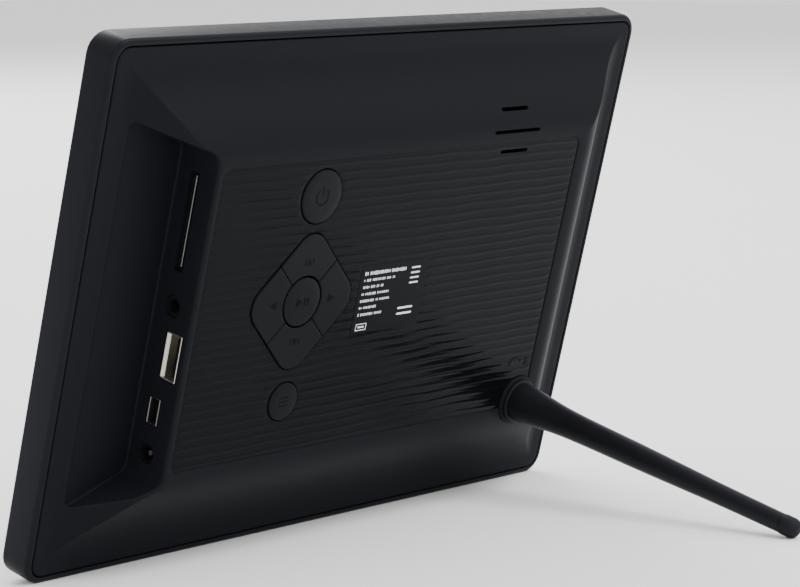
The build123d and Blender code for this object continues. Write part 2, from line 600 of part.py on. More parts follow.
# ---------------------------------------------------------------- sockets
def make_sockets():
    nodes = {}
    rear = BOARD_REAR_Y
    sd_x = (BOARD_RIGHT_X - SD_BODY_LENGTH, BOARD_RIGHT_X)
    sd_z = across(SD_Z, SD_BODY_WIDTH)
    nodes["sd_card_base"] = block(sd_x, (rear, rear + SD_BASE), sd_z)
    cover = block(sd_x, (rear + SD_BASE, rear + SD_HEIGHT), sd_z)
    cover -= block((sd_x[0] + SHELL_SHEET, sd_x[1] + 1), (rear + SD_BASE, rear + SD_HEIGHT - SHELL_SHEET),
                   (sd_z[0] + SHELL_SHEET, sd_z[1] - SHELL_SHEET))
    nodes["sd_card_shell"] = cover
    nodes["sd_card_contacts"] = group([
        block((sd_x[0] + 3, sd_x[0] + 9), (rear + SD_BASE, rear + SD_BASE + CONTACT_SHEET),
              across(SD_Z + SD_PIN_PITCH * (k - 4), SD_PIN_WIDTH))
        for k in range(9)])

    jack_y = rear + JACK_BODY[1] / 2
    jack = block((BOARD_RIGHT_X - JACK_BODY[0], BOARD_RIGHT_X), (rear, rear + JACK_BODY[1]),
                 across(JACK_Z, JACK_BODY[2]))
    jack += pipe_x((BOARD_RIGHT_X, SOCKET_END_X), jack_y, JACK_Z, JACK_NOSE_RADIUS)
    jack -= pipe_x((SOCKET_END_X - JACK_DEPTH, SOCKET_END_X + 1), jack_y, JACK_Z, JACK_BORE_RADIUS)
    nodes["headphone_jack"] = jack

    length, height, width = USB_A_SHELL
    usb_y = rear + USB_A_BASE + height / 2
    usb_x = (SOCKET_END_X - length, SOCKET_END_X)
    nodes["usb_a_base"] = block((usb_x[0], BOARD_RIGHT_X), (rear, rear + USB_A_BASE),
                                across(USB_A_Z, width - 1))
    shell = block(usb_x, across(usb_y, height), across(USB_A_Z, width))
    shell -= block((usb_x[0] + USB_A_BACK, usb_x[1] + 1), across(usb_y, height - 2 * SHELL_SHEET),
                   across(USB_A_Z, width - 2 * SHELL_SHEET))
    nodes["usb_a_shell"] = shell
    tongue_y = (usb_y + TONGUE_OFFSET, usb_y + TONGUE_OFFSET + USB_A_TONGUE)
    tongue_x = (usb_x[0] + USB_A_BACK, usb_x[1] - 1.2)
    nodes["usb_a_tongue"] = block(tongue_x, tongue_y, across(USB_A_Z, USB_A_TONGUE_WIDTH))
    nodes["usb_a_contacts"] = group([
        block((tongue_x[0], tongue_x[1] - 0.6), (tongue_y[0] - CONTACT_SHEET, tongue_y[0]),
              across(USB_A_Z + offset, USB_A_PIN_WIDTH))
        for offset in USB_A_PIN_OFFSETS])

    length, height, width = MINI_USB_SHELL
    mini_y = rear + height / 2
    mini_x = (SOCKET_END_X - length, SOCKET_END_X)
    shell = block(mini_x, across(mini_y, height), across(MINI_USB_Z, width))
    shell -= block((mini_x[0] + MINI_USB_BACK, mini_x[1] + 1), across(mini_y, height - 2 * SHELL_SHEET),
                   across(MINI_USB_Z, width - 2 * SHELL_SHEET))
    nodes["mini_usb_shell"] = shell
    nodes["mini_usb_tongue"] = block((mini_x[0] + MINI_USB_BACK, mini_x[1] - 0.8),
                                     across(mini_y + MINI_USB_TONGUE_OFFSET, MINI_USB_TONGUE[0]),
                                     across(MINI_USB_Z, MINI_USB_TONGUE[1]))

    dc_y = rear + DC_BODY[1] / 2
    dc = block((BOARD_RIGHT_X - DC_BODY[0], BOARD_RIGHT_X), (rear, rear + DC_BODY[1]),
               across(DC_Z, DC_BODY[2]))
    dc += pipe_x((BOARD_RIGHT_X, SOCKET_END_X), dc_y, DC_Z, DC_NOSE_RADIUS)
    hole_end = SOCKET_END_X - DC_HOLE_DEPTH
    dc -= pipe_x((hole_end, SOCKET_END_X + 1), dc_y, DC_Z, DC_HOLE_RADIUS)
    nodes["dc_inlet_body"] = dc
    nodes["dc_inlet_pin"] = pipe_x((hole_end, SOCKET_END_X - 1), dc_y, DC_Z, DC_PIN_RADIUS)
    return nodes


# ---------------------------------------------------------------- loudspeaker
def lead_radii(points):
    """Bend radius at each inner point: as large as its two straight runs allow."""
    radii = []
    for before, here, after in zip(points, points[1:], points[2:]):
        first = Vector(*here) - Vector(*before)
        second = Vector(*after) - Vector(*here)
        turn = math.radians(first.get_angle(second))
        shorter = min(first.length, second.length)
        radii.append(0.45 * shorter / math.tan(turn / 2))
    return radii


def make_speaker():
    nodes = {}
    front = SPEAKER_FRONT_Y
    gasket_y = front - SPEAKER_GASKET
    ring_outer = SPEAKER_RADIUS + SPEAKER_RING
    nodes["speaker_gasket"] = tube(SPEAKER_X, SPEAKER_Z, ring_outer, SPEAKER_RADIUS, gasket_y, front)
    flange_y = gasket_y - SPEAKER_FLANGE
    basket_y = flange_y - BASKET_DEPTH
    cone_radius = SPEAKER_RADIUS - 1.5
    basket = tube(SPEAKER_X, SPEAKER_Z, ring_outer, cone_radius, flange_y, gasket_y)
    basket += disc(SPEAKER_X, SPEAKER_Z, SPEAKER_RADIUS, basket_y, flange_y)
    basket -= disc(SPEAKER_X, SPEAKER_Z, cone_radius, basket_y + 0.6, flange_y)
    nodes["speaker_basket"] = basket
    nodes["speaker_cone"] = disc(SPEAKER_X, SPEAKER_Z, cone_radius - BODY_CLEARANCE, flange_y, flange_y + 0.4)
    nodes["speaker_magnet"] = disc(SPEAKER_X, SPEAKER_Z, MAGNET_RADIUS, basket_y - MAGNET_DEPTH, basket_y)

    # Two thin leads from the basket's edge to the main board's front face.
    leads = []
    lead_radius = 0.5
    start_x = SPEAKER_X + SPEAKER_RADIUS
    lead_y = basket_y + 0.9
    for offset in (-0.8, 0.8):
        points = [(start_x, lead_y, SPEAKER_Z + offset), (start_x + 9, lead_y - 1.0, SPEAKER_Z - 3 + offset),
                  (start_x + 20, lead_y - 1.4, SPEAKER_Z - 9 + offset),
                  (start_x + 32, lead_y - 1.0, SPEAKER_Z - 12 + offset),
                  (BOARD_LEFT_X, BOARD_FRONT_Y + BOARD_THICKNESS / 2, SPEAKER_Z - 12.6 + offset)]
        path = FilletPolyline(*points, radius=lead_radii(points))
        start = Plane(origin=path @ 0, z_dir=path % 0)
        leads.append(sweep(start * Circle(lead_radius), path=path))
    trimmed = []
    for lead in leads:
        lead -= disc(SPEAKER_X, SPEAKER_Z, SPEAKER_RADIUS, 0, PLATEAU_Y)
        lead -= block((BOARD_LEFT_X, BOARD_RIGHT_X), (0, PLATEAU_Y), (BOARD_BOTTOM_Z, BOARD_TOP_Z))
        trimmed.append(lead)
    nodes["speaker_leads"] = group(trimmed)
    return nodes


# ---------------------------------------------------------------- keys
def switch_places():
    places = {name: (KEY_X, z) for name, (z, radius) in ROUND_KEYS.items()}
    places["play_button"] = (KEY_X, PAD_Z)
    for name, (way_x, way_z) in PAD_KEYS.items():
        places[name] = (KEY_X + way_x * PAD_REACH, PAD_Z + way_z * PAD_REACH)
    return places


def pad_quarter(way, outset):
    """One direction key's outline: a quarter of the pad, less the middle key's circle."""
    way_x, way_z = way
    reach = 2 * PAD_SIDE
    shift = PAD_SPLIT / math.sqrt(2)
    angle = math.degrees(math.atan2(way_z, way_x)) - 90
    wedge = make_face(Polyline((0, shift), (reach, reach + shift), (-reach, reach + shift), close=True))
    wedge = Pos(KEY_X, PAD_Z) * Rot(0, 0, angle) * wedge
    middle = Pos(KEY_X, PAD_Z) * Circle(PLAY_RADIUS + KEY_GAP)
    return (pad_outline(outset) - middle) & wedge


def make_keys():
    nodes = {}
    places = switch_places()
    switches = []
    for name, (x, z) in places.items():
        body = block(across(x, SWITCH_SIDE), (KEY_BOARD_REAR_Y, SWITCH_TOP_Y), across(z, SWITCH_SIDE))
        well_radius = PLUNGER_RADIUS + PLUNGER_CLEARANCE
        switches.append(body - disc(x, z, well_radius, SWITCH_TOP_Y - SWITCH_WELL, SWITCH_TOP_Y))
        plunger = disc(x, z, PLUNGER_RADIUS, SWITCH_TOP_Y - PLUNGER_ENGAGED, KEY_FOOT_Y)
        nodes[f"{name}_plunger"] = plunger
    nodes["switch_bodies"] = group(switches)

    for name, (z, radius) in ROUND_KEYS.items():
        key = disc(KEY_X, z, radius - KEY_GAP, KEY_FLANGE_Y, KEY_TOP_Y)
        key += disc(KEY_X, z, radius + KEY_FLANGE, KEY_FLANGE_Y, KEY_FLANGE_TOP_Y)
        nodes[name] = key + disc(KEY_X, z, KEY_STEM_RADIUS, KEY_FOOT_Y, KEY_FLANGE_Y)
    for name, way in PAD_KEYS.items():
        x, z = places[name]
        key = plate(pad_quarter(way, -KEY_GAP), KEY_FLANGE_Y, KEY_TOP_Y)
        key += plate(pad_quarter(way, KEY_FLANGE), KEY_FLANGE_Y, KEY_FLANGE_TOP_Y)
        nodes[name] = key + disc(x, z, KEY_STEM_RADIUS, KEY_FOOT_Y, KEY_FLANGE_Y)
    play = disc(KEY_X, PAD_Z, PLAY_RADIUS - KEY_GAP, KEY_FLANGE_Y, KEY_TOP_Y)
    nodes["play_button"] = play + disc(KEY_X, PAD_Z, KEY_STEM_RADIUS, KEY_FOOT_Y, KEY_FLANGE_Y)
    return nodes


# ---------------------------------------------------------------- leg
def make_leg():
    nodes = {}
    insert_end = BOSS_TOP_Y - INSERT_SETBACK
    nodes["leg_insert"] = tube(LEG_X, LEG_Z, INSERT_RADIUS, STUD_RADIUS + THREAD_CLEARANCE,
                               insert_end - INSERT_LENGTH, insert_end)
    nodes["leg_washer"] = tube(LEG_X, LEG_Z, WASHER_RADIUS, STUD_RADIUS + THREAD_CLEARANCE,
                               BOSS_TOP_Y, LEG_START_Y)
    stud_end = LEG_START_Y + STUD_IN_LEG
    nodes["leg_stud"] = disc(LEG_X, LEG_Z, STUD_RADIUS, BOSS_TOP_Y - STUD_ENGAGED, stud_end)

    foot_y = LEG_TIP_Y - FOOT_LENGTH
    spigot_end = foot_y + SPIGOT_LENGTH
    start = LEG_START_Y
    straight = [(0, start), (LEG_BASE_RADIUS - 0.4, start), (LEG_BASE_RADIUS, start + 0.4)]
    flare = [(LEG_BASE_RADIUS, start + 0.4), (5.55, start + 4.0), (4.55, start + 12.0), (4.05, start + 22.0),
             (3.7, start + 44.0), (3.05, start + 74.0), (LEG_END_RADIUS, foot_y)]
    rod = turned_rod(straight, flare, foot_y, spigot_end)
    nodes["leg_rod"] = rod - disc(LEG_X, LEG_Z, STUD_RADIUS, start, stud_end)

    foot = disc(LEG_X, LEG_Z, FOOT_RADIUS, foot_y, LEG_TIP_Y)
    foot = fillet(foot.faces().sort_by(Axis.Y)[-1].edges(), FOOT_ROUND)
    foot = fillet(foot.faces().sort_by(Axis.Y)[0].edges(), 0.4)
    nodes["leg_foot"] = foot - disc(LEG_X, LEG_Z, SPIGOT_RADIUS, foot_y, spigot_end)
    return nodes


def turned_rod(straight, flare, foot_y, spigot_end):
    """The rod: flared root, long taper, and a spigot inside the rubber foot."""
    end = [(LEG_END_RADIUS, foot_y), (SPIGOT_RADIUS, foot_y), (SPIGOT_RADIUS, spigot_end), (0, spigot_end),
           straight[0]]
    face = make_face(Wire(Polyline(*straight).edges() + [Spline(*flare)] + Polyline(*end).edges()))
    placed = Plane(origin=(LEG_X, 0, LEG_Z), x_dir=(1, 0, 0), z_dir=(0, 0, 1)) * face
    return revolve(placed, axis=Axis((LEG_X, 0, LEG_Z), (0, 1, 0)))


# ---------------------------------------------------------------- standing position
def lean_angle():
    """Slope of the line that touches the rim's lower back edge and the foot's rounded end."""
    edge = (BEZEL_DEPTH - RIM_ROUND, -HALF_H + RIM_ROUND)
    foot = (LEG_TIP_Y - FOOT_ROUND, LEG_Z - FOOT_RADIUS + FOOT_ROUND)
    run = foot[0] - edge[0]
    rise = foot[1] - edge[1]
    return math.atan2(rise, run) - math.asin((FOOT_ROUND - RIM_ROUND) / math.hypot(run, rise))


def standing_place():
    """Leans the panel back, then sets it down with the origin under its middle."""
    lean = lean_angle()

    def leaned(y, z):
        return y * math.cos(lean) + z * math.sin(lean), z * math.cos(lean) - y * math.sin(lean)

    lowest = leaned(BEZEL_DEPTH - RIM_ROUND, -HALF_H + RIM_ROUND)[1] - RIM_ROUND
    foremost = leaned(FRONT_ROUND, -HALF_H + FRONT_ROUND)[0] - FRONT_ROUND
    rearmost = leaned(LEG_TIP_Y - FOOT_ROUND, LEG_Z + FOOT_RADIUS - FOOT_ROUND)[0] + FOOT_ROUND
    shift = Pos(0, -(foremost + rearmost) / 2, -lowest)
    return shift * Rot(-math.degrees(lean), 0, 0)


def main():
    nodes = {"front_bezel": make_bezel(), "back_cover": make_cover()}
    for make in (make_display, make_boards, make_sockets, make_speaker, make_keys, make_leg):
        nodes.update(make())
    field_label = Pos(LABEL_X, LABEL_Z) * RectangleRounded(LABEL_WIDTH, LABEL_HEIGHT, 1.0)
    nodes["rating_label"] = plate(field_label, FIELD_Y, FIELD_Y + LABEL_THICKNESS)

    place = standing_place()
    os.makedirs("parts", exist_ok=True)
    for name, shape in nodes.items():
        export_step(place * shape, f"parts/{name}.step")
    print(len(nodes), "nodes; lean", round(math.degrees(lean_angle()), 3), "degrees;", place)


main()
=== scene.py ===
import json
import math

import bmesh
import bpy
import numpy as np
from mathutils import Matrix, Vector
from mathutils.geometry import delaunay_2d_cdt


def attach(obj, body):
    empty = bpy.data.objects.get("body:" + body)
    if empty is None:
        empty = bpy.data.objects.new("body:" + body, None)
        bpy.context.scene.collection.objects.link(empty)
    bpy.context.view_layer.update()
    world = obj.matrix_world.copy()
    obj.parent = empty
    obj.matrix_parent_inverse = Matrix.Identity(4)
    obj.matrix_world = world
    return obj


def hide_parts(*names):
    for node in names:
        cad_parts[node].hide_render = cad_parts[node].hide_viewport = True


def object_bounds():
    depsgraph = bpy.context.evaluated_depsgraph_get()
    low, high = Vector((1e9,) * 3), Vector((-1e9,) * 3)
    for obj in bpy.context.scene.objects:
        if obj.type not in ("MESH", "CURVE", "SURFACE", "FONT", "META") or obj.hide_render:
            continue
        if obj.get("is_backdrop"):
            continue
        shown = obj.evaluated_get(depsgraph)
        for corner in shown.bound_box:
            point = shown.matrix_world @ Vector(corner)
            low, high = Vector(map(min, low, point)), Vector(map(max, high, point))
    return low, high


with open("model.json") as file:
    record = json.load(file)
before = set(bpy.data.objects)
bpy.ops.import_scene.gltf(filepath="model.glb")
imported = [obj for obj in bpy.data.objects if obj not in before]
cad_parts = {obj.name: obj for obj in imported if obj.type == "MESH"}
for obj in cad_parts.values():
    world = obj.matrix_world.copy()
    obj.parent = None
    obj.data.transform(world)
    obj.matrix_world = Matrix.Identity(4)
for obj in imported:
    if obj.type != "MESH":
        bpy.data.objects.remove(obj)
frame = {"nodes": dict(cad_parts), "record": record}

# A table-top photo frame seen from behind: a satin black moulded back with a finely rippled
# field, keys, a port bay with its sockets, and one screw-in leg.
#
# Shapes are drawn upright in the panel's own axes, in millimetres: x to the right seen from
# the front, y from the front face towards the back, z up. place() leans them back with the
# panel and turns them to metres in the frame's axes.

CAD_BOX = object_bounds()

# ---------------------------------------------------------------- sizes, in millimetres
HALF_W = 108.0
HALF_H = 74.0
CORNER = 6.0
RIM_Y = 10.0              # top of the rim round the back cover
RIM_ROUND = 1.2
RIM_WALL = 1.8
GROOVE = 0.4
LEDGE = 1.2
SEAT_Y = 8.0
FACE_Y = 2.2              # inner side of the front face
WINDOW_HALF_W = 86.8
WINDOW_HALF_H = 54.5

MARGIN = 3.3              # flat strip between the groove and the slope
TOP_Y = 23.0
TOP_HALF_W = 78.0
TOP_HALF_H = 43.5
COVER_WALL = 1.6
MITRE_ROUND = 1.6         # how far the mitre ridges are softened
COVER_HALF_W = HALF_W - RIM_WALL - GROOVE
COVER_HALF_H = HALF_H - RIM_WALL - GROOVE
COVER_CORNER = CORNER - RIM_WALL - GROOVE
EDGE_ROUND = 0.3          # rounding of the cover's edge beside the groove

FIELD_Y = 22.75
FIELD_HALF_W = 74.6
FIELD_HALF_H = 42.0
FIELD_CORNER = 3.0
FIELD_GAP = 0.06          # between the field's skin and the side of its recess
FIELD_WALL = 1.7
FIELD_EDGE = 0.12         # rounding of the skin's outer edge and of its loudspeaker slot
OPENING_ROUND = 0.22      # rounding of the recess and of the openings for the keys
RECESS_DEPTH = 0.9
RIPPLE_PITCH = 2.63
RIPPLE_HEIGHT = 0.11

BAY_X = 76.6
BAY_OUTER_X = 98.5
BAY_HALF = 45.8
BAY_OUTER_HALF = 53.0
BAY_CORNER = 4.0
BAY_DROP = 1.2
BAY_LIP = 0.7             # rounding where the bay meets the outer surface
BAY_FILLET = 0.6          # rounding between the bay's walls and its floor
# Each socket's middle on the bay's wall, as (z, y).
SOCKETS = {"sd": (25.7, 15.0), "jack": (2.8, 15.6), "usb_a": (-10.7, 17.85), "mini_usb": (-26.8, 15.05),
           "dc": (-38.7, 15.5)}

KEY_X = 34.9
PAD_Z = 2.1
PAD_HALF = 15.75
PAD_CORNER = 6.5
POWER_Z = 31.9
POWER_R = 7.8
PLAY_R = 7.2
MENU_Z = -26.7
MENU_R = 5.7
KEY_GAP = 0.25
PAD_SPLIT = 0.16
KEY_TOP_Y = 23.1
KEY_LOW_Y = 20.1
FLANGE = 0.7
FLANGE_HEIGHT = 0.8
CAP_ROUND = 0.28
ICON_OUT = 11.4           # middle of the pad to the direction keys' icons

LEG_X = -70.7
LEG_Z = -40.3
BOSS_R = 7.6
BOSS_Y = 23.6
LEG_Y = 24.6
LEG_TIP_Y = 127.3

SPEAKER_X = -44.6
SLOT_HALF = 0.5
SLOTS = ((51.2, 12.0), (45.3, 20.5), (39.4, 12.0))

LABEL_X = -2.0
LABEL_Z = 0.0
LABEL_W = 28.0
LABEL_H = 20.0
LABEL_Y = FIELD_Y + 0.1

NEAREST = 0.22            # closest that a sheet's inner point lies to an outline
WELD = 2e-6               # metres: points closer than this are one
NO_POINTS = np.zeros((0, 2))


# ---------------------------------------------------------------- the panel's place in the frame
behaviour = frame["record"]["behaviour"]
press_axis = next(j["axis"] for j in behaviour["joints"] if j["name"] == "power_press")
COS, SIN = -press_axis[1], press_axis[2]
edge_mount = next(m for m in frame["record"]["mounts"] if m["name"] == "bottom_edge")
EDGE_POINT = (0.0, 5.0, -HALF_H)       # where that mount lies on the upright panel


def lean(points):
    """Upright panel millimetres to leaned-back metres, before the shift."""
    x, y, z = np.asarray(points, float).T / 1000.0
    return np.stack([x, y * COS + z * SIN, z * COS - y * SIN], axis=-1)


SHIFT = np.array(edge_mount["pos_m"]) - lean([EDGE_POINT])[0]
BACKWARDS = Vector((0, COS, -SIN))


def place(points):
    """Upright panel millimetres to metres in the frame's axes."""
    return lean(points) + SHIFT


# ---------------------------------------------------------------- curves and outlines
def smoothstep(t):
    """3t^2 - 2t^3 between 0 and 1, and level beyond them."""
    t = np.clip(t, 0, 1)
    return t * t * (3 - 2 * t)


def arc(cx, cz, radius, start, end, steps):
    """Points on a circle, from one angle to another, both in degrees."""
    angle = np.radians(np.linspace(start, end, steps))
    return np.stack([cx + radius * np.cos(angle), cz + radius * np.sin(angle)], axis=-1)


def circle(cx, cz, radius, steps=72):
    """A closed circle of evenly spaced points."""
    return arc(cx, cz, radius, 0, 360, steps + 1)[:-1]


def rounded_polygon(corners, radii, steps=7):
    """Straight sides joined by tangent arcs: at each corner an arc of the given radius."""
    corners = np.asarray(corners, float)
    pieces = []
    for index, radius in enumerate(radii):
        here = corners[index]
        to_last = corners[index - 1] - here
        to_next = corners[(index + 1) % len(corners)] - here
        to_last /= np.linalg.norm(to_last)
        to_next /= np.linalg.norm(to_next)
        half = math.acos(float(np.clip(to_last @ to_next, -1, 1))) / 2
        if radius < 1e-6:
            pieces.append(here[None])
            continue
        reach = radius / math.tan(half)
        middle = here + (to_last + to_next) / np.linalg.norm(to_last + to_next) * radius / math.sin(half)
        begin = here + to_last * reach - middle
        finish = here + to_next * reach - middle
        share = np.linspace(0, 1, steps)[:, None]
        turn = math.pi - 2 * half
        mixed = (np.sin((1 - share) * turn) * begin + np.sin(share * turn) * finish) / math.sin(turn)
        pieces.append(middle + mixed)
    return np.concatenate(pieces)


def rounded_box(half_w, half_h, radius, steps=7):
    """A rectangle about the origin with rounded corners."""
    corners = [(half_w, -half_h), (half_w, half_h), (-half_w, half_h), (-half_w, -half_h)]
    return rounded_polygon(corners, [max(radius, 0.02)] * 4, steps)


def spun(loop, turn):
    """An outline turned about the origin, by an angle in radians."""
    return loop @ np.array([[math.cos(turn), math.sin(turn)], [-math.sin(turn), math.cos(turn)]])


def slot_outline(cx, cz, length):
    """A slot with round ends."""
    reach = length / 2 - SLOT_HALF
    right = arc(cx + reach, cz, SLOT_HALF, -90, 90, 7)
    left = arc(cx - reach, cz, SLOT_HALF, 90, 270, 7)
    return np.concatenate([right, left])


def divided(loop, spacing):
    """The same closed outline with its long sides cut into steps of at most the spacing."""
    ends = np.roll(loop, -1, axis=0)
    counts = np.maximum(1, np.ceil(np.linalg.norm(ends - loop, axis=1) / spacing).astype(int))
    return np.concatenate([a + (b - a) * np.linspace(0, 1, n, endpoint=False)[:, None]
                           for a, b, n in zip(loop, ends, counts)])


def outward(loop):
    """Mitre vectors of an anticlockwise closed outline: a unit offset of both sides at each point."""
    side = np.roll(loop, -1, axis=0) - loop
    normal = np.stack([side[:, 1], -side[:, 0]], axis=-1)
    normal /= np.linalg.norm(normal, axis=1, keepdims=True)
    before = np.roll(normal, 1, axis=0)
    return (before + normal) / (1 + np.sum(before * normal, axis=1, keepdims=True))


def inside(points, loop):
    """Which points lie inside a closed outline: the count of sides crossed to the right is odd."""
    x, z = points.T
    odd = np.zeros(len(points), bool)
    for (ax, az), (bx, bz) in zip(loop, np.roll(loop, -1, axis=0)):
        if az == bz:
            continue
        crosses = (az > z) != (bz > z)
        odd ^= crosses & (x < ax + (z - az) * (bx - ax) / (bz - az))
    return odd


def distance_to(points, loop):
    """Distance of each point from a closed outline's sides."""
    best = np.full(len(points), 1e9)
    for a, b in zip(loop, np.roll(loop, -1, axis=0)):
        side = b - a
        share = np.clip(((points - a) @ side) / max(side @ side, 1e-12), 0, 1)[:, None]
        best = np.minimum(best, np.linalg.norm(points - (a + share * side), axis=1))
    return best


# ---------------------------------------------------------------- surfaces
class Shape:
    """Points and faces gathered from several surfaces, in panel millimetres."""

    def __init__(self):
        self.points = []
        self.faces = []
        self.count = 0

    def add(self, points, faces):
        """Adds points and the faces over them, whose numbers count from the first of them."""
        faces = np.asarray(faces, int)
        self.points.append(np.asarray(points, float))
        self.faces.append(faces + self.count)
        self.count += len(points)
        return self

    def grid(self, rows, flip=False):
        """A surface of rows of points, each row closed on itself."""
        rows = np.asarray(rows, float)
        high, wide = rows.shape[:2]
        index = np.arange(high * wide).reshape(high, wide)
        right = np.roll(index, -1, axis=1)
        quads = np.stack([index[:-1], right[:-1], right[1:], index[1:]], axis=-1).reshape(-1, 4)
        return self.add(rows.reshape(-1, 3), quads[:, ::-1] if flip else quads)

    def fan(self, ring, middle, flip=False):
        """A cap: triangles from a closed ring to one middle point."""
        count = len(ring)
        index = np.arange(count)
        faces = np.stack([index, np.roll(index, -1), np.full(count, count)], axis=-1)
        return self.add(np.vstack([ring, [middle]]), faces[:, ::-1] if flip else faces)


def sheet(outline, holes, inner):
    """A flat region between an outline and its holes, as triangles over the given inner points.
    Inner points close to an outline are dropped, so that no sliver is left beside it. All the
    outlines are first rounded as the triangulation rounds them, so that the test of what lies
    inside is exact along a straight side."""
    loops = [np.float32(loop).astype(float) for loop in [outline] + list(holes)]
    outline, holes = loops[0], loops[1:]
    for loop in loops:
        inner = inner[distance_to(inner, loop) > NEAREST]
    keep = inside(inner, outline)
    for hole in holes:
        keep &= ~inside(inner, hole)
    inner = inner[keep]
    points = np.vstack(loops + [inner])
    edges = []
    start = 0
    for loop in loops:
        index = np.arange(len(loop))
        edges += (np.stack([index, np.roll(index, -1)], axis=-1) + start).tolist()
        start += len(loop)
    result = delaunay_2d_cdt([Vector(p) for p in points.tolist()], edges, [], 0, 1e-7)
    flat = np.array([tuple(p) for p in result[0]])
    triangles = np.array(result[2])
    middles = flat[triangles].mean(axis=1)
    keep = inside(middles, outline)
    for hole in holes:
        keep &= ~inside(middles, hole)
    return flat, triangles[keep]


def raised(flat, height):
    """Panel-plane points (x, z) and their heights y, as points in space."""
    return np.stack([flat[:, 0], np.broadcast_to(height, len(flat)), flat[:, 1]], axis=-1)


def grid_points(xs, zs):
    """Every pair of an x and a z, as flat points."""
    x, z = np.meshgrid(xs, zs)
    return np.stack([x.ravel(), z.ravel()], axis=-1)


def steps_between(marks, spacings):
    """Numbers from mark to mark, with each stretch's own spacing."""
    pieces = [np.linspace(a, b, max(1, round((b - a) / s)), endpoint=False)
              for a, b, s in zip(marks, marks[1:], spacings)]
    return np.concatenate(pieces + [[marks[-1]]])


# ---------------------------------------------------------------- making a piece
def piece(name, shape, body, material, replaces=(), angle=35, wall=0.0):
    """Makes one mesh object from gathered surfaces, joins its seams and gives it its body
    and material. A wall thickens an open surface inwards into a closed shell."""
    points = place(np.concatenate(shape.points))
    faces = [face for block in shape.faces for face in block.tolist()]
    mesh = bpy.data.meshes.new(name)
    mesh.from_pydata(points, [], faces)
    obj = bpy.data.objects.new(name, mesh)
    bpy.context.scene.collection.objects.link(obj)
    build = bmesh.new()
    build.from_mesh(mesh)
    bmesh.ops.remove_doubles(build, verts=build.verts, dist=WELD)
    bmesh.ops.dissolve_degenerate(build, edges=build.edges, dist=1e-7)
    bmesh.ops.recalc_face_normals(build, faces=build.faces)
    if wall and sum(face.normal.dot(BACKWARDS) * face.calc_area() for face in build.faces) < 0:
        bmesh.ops.reverse_faces(build, faces=build.faces)
    build.to_mesh(mesh)
    build.free()
    if wall:
        thicken(obj, wall)
    mesh = obj.data
    mesh.polygons.foreach_set("use_smooth", np.ones(len(mesh.polygons), bool))
    mesh.set_sharp_from_angle(angle=math.radians(angle))
    mesh.materials.append(material)
    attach(obj, body)
    if replaces:
        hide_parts(*replaces)


def thicken(obj, wall):
    """Gives an open surface its wall, inwards, and applies it."""
    modifier = obj.modifiers.new("wall", "SOLIDIFY")
    modifier.thickness = wall / 1000
    modifier.offset = -1
    modifier.use_even_offset = False
    graph = bpy.context.evaluated_depsgraph_get()
    finished = bpy.data.meshes.new_from_object(obj.evaluated_get(graph))
    obj.modifiers.clear()
    obj.data = finished


# ---------------------------------------------------------------- materials
def linear(code):
    """An sRGB hex colour as linear RGBA."""
    share = [int(code[i:i + 2], 16) / 255 for i in (1, 3, 5)]
    return [c / 12.92 if c <= 0.04045 else ((c + 0.055) / 1.055) ** 2.4 for c in share] + [1.0]


def node(tree, kind, links=(), **settings):
    """Adds one shader node, sets its properties or sockets, and links its inputs."""
    added = tree.nodes.new(kind)
    for key, value in settings.items():
        if hasattr(added, key):
            setattr(added, key, value)
        else:
            added.inputs[key.replace("_", " ")].default_value = value
    for socket, source in links:
        tree.links.new(source, added.inputs[socket])
    return added


def principled(name, colour, roughness, metallic=0.0, **settings):
    """A new material with one principled shader, and its tree."""
    material = bpy.data.materials.new(name)
    material.use_nodes = True
    shader = material.node_tree.nodes["Principled BSDF"]
    shader.inputs["Base Color"].default_value = linear(colour)
    shader.inputs["Roughness"].default_value = roughness
    shader.inputs["Metallic"].default_value = metallic
    for key, value in settings.items():
        shader.inputs[key.replace("_", " ")].default_value = value
    return material, material.node_tree, shader


def mottled(material_parts, low, high, grain_mm, rough, bump_mm=0.0, stretch=(1, 1, 1), bump_grain=None):
    """Varies colour between two hex values and roughness between two values over a fine
    grain, and adds a bump of the given depth; all sizes are real, in millimetres."""
    material, tree, shader = material_parts
    place_node = node(tree, "ShaderNodeTexCoord")
    mapping = node(tree, "ShaderNodeMapping", [("Vector", place_node.outputs["Object"])], Scale=stretch)
    grain = node(tree, "ShaderNodeTexNoise", [("Vector", mapping.outputs[0])],
                 Scale=1000 / grain_mm, Detail=3.0, Roughness=0.55)
    colours = node(tree, "ShaderNodeMix", [("Factor", grain.outputs["Fac"])], data_type="RGBA")
    colours.inputs[6].default_value = linear(low)
    colours.inputs[7].default_value = linear(high)
    tree.links.new(colours.outputs[2], shader.inputs["Base Color"])
    spread = node(tree, "ShaderNodeMapRange", [("Value", grain.outputs["Fac"])],
                  From_Min=0.3, From_Max=0.7, To_Min=rough[0], To_Max=rough[1])
    tree.links.new(spread.outputs[0], shader.inputs["Roughness"])
    if bump_mm:
        fine = node(tree, "ShaderNodeTexNoise", [("Vector", mapping.outputs[0])],
                    Scale=1000 / (bump_grain or grain_mm), Detail=2.0)
        bump = node(tree, "ShaderNodeBump", [("Height", fine.outputs["Fac"])],
                    Strength=1.0, Distance=bump_mm / 1000)
        tree.links.new(bump.outputs[0], shader.inputs["Normal"])
    return material


def black_plastic(name, colour, roughness, reflection=0.1):
    """Black moulded plastic: little reflection, and what there is slightly blue."""
    return principled(name, colour, roughness, Specular_IOR_Level=reflection,
                      Specular_Tint=(0.84, 0.92, 1.0, 1.0))


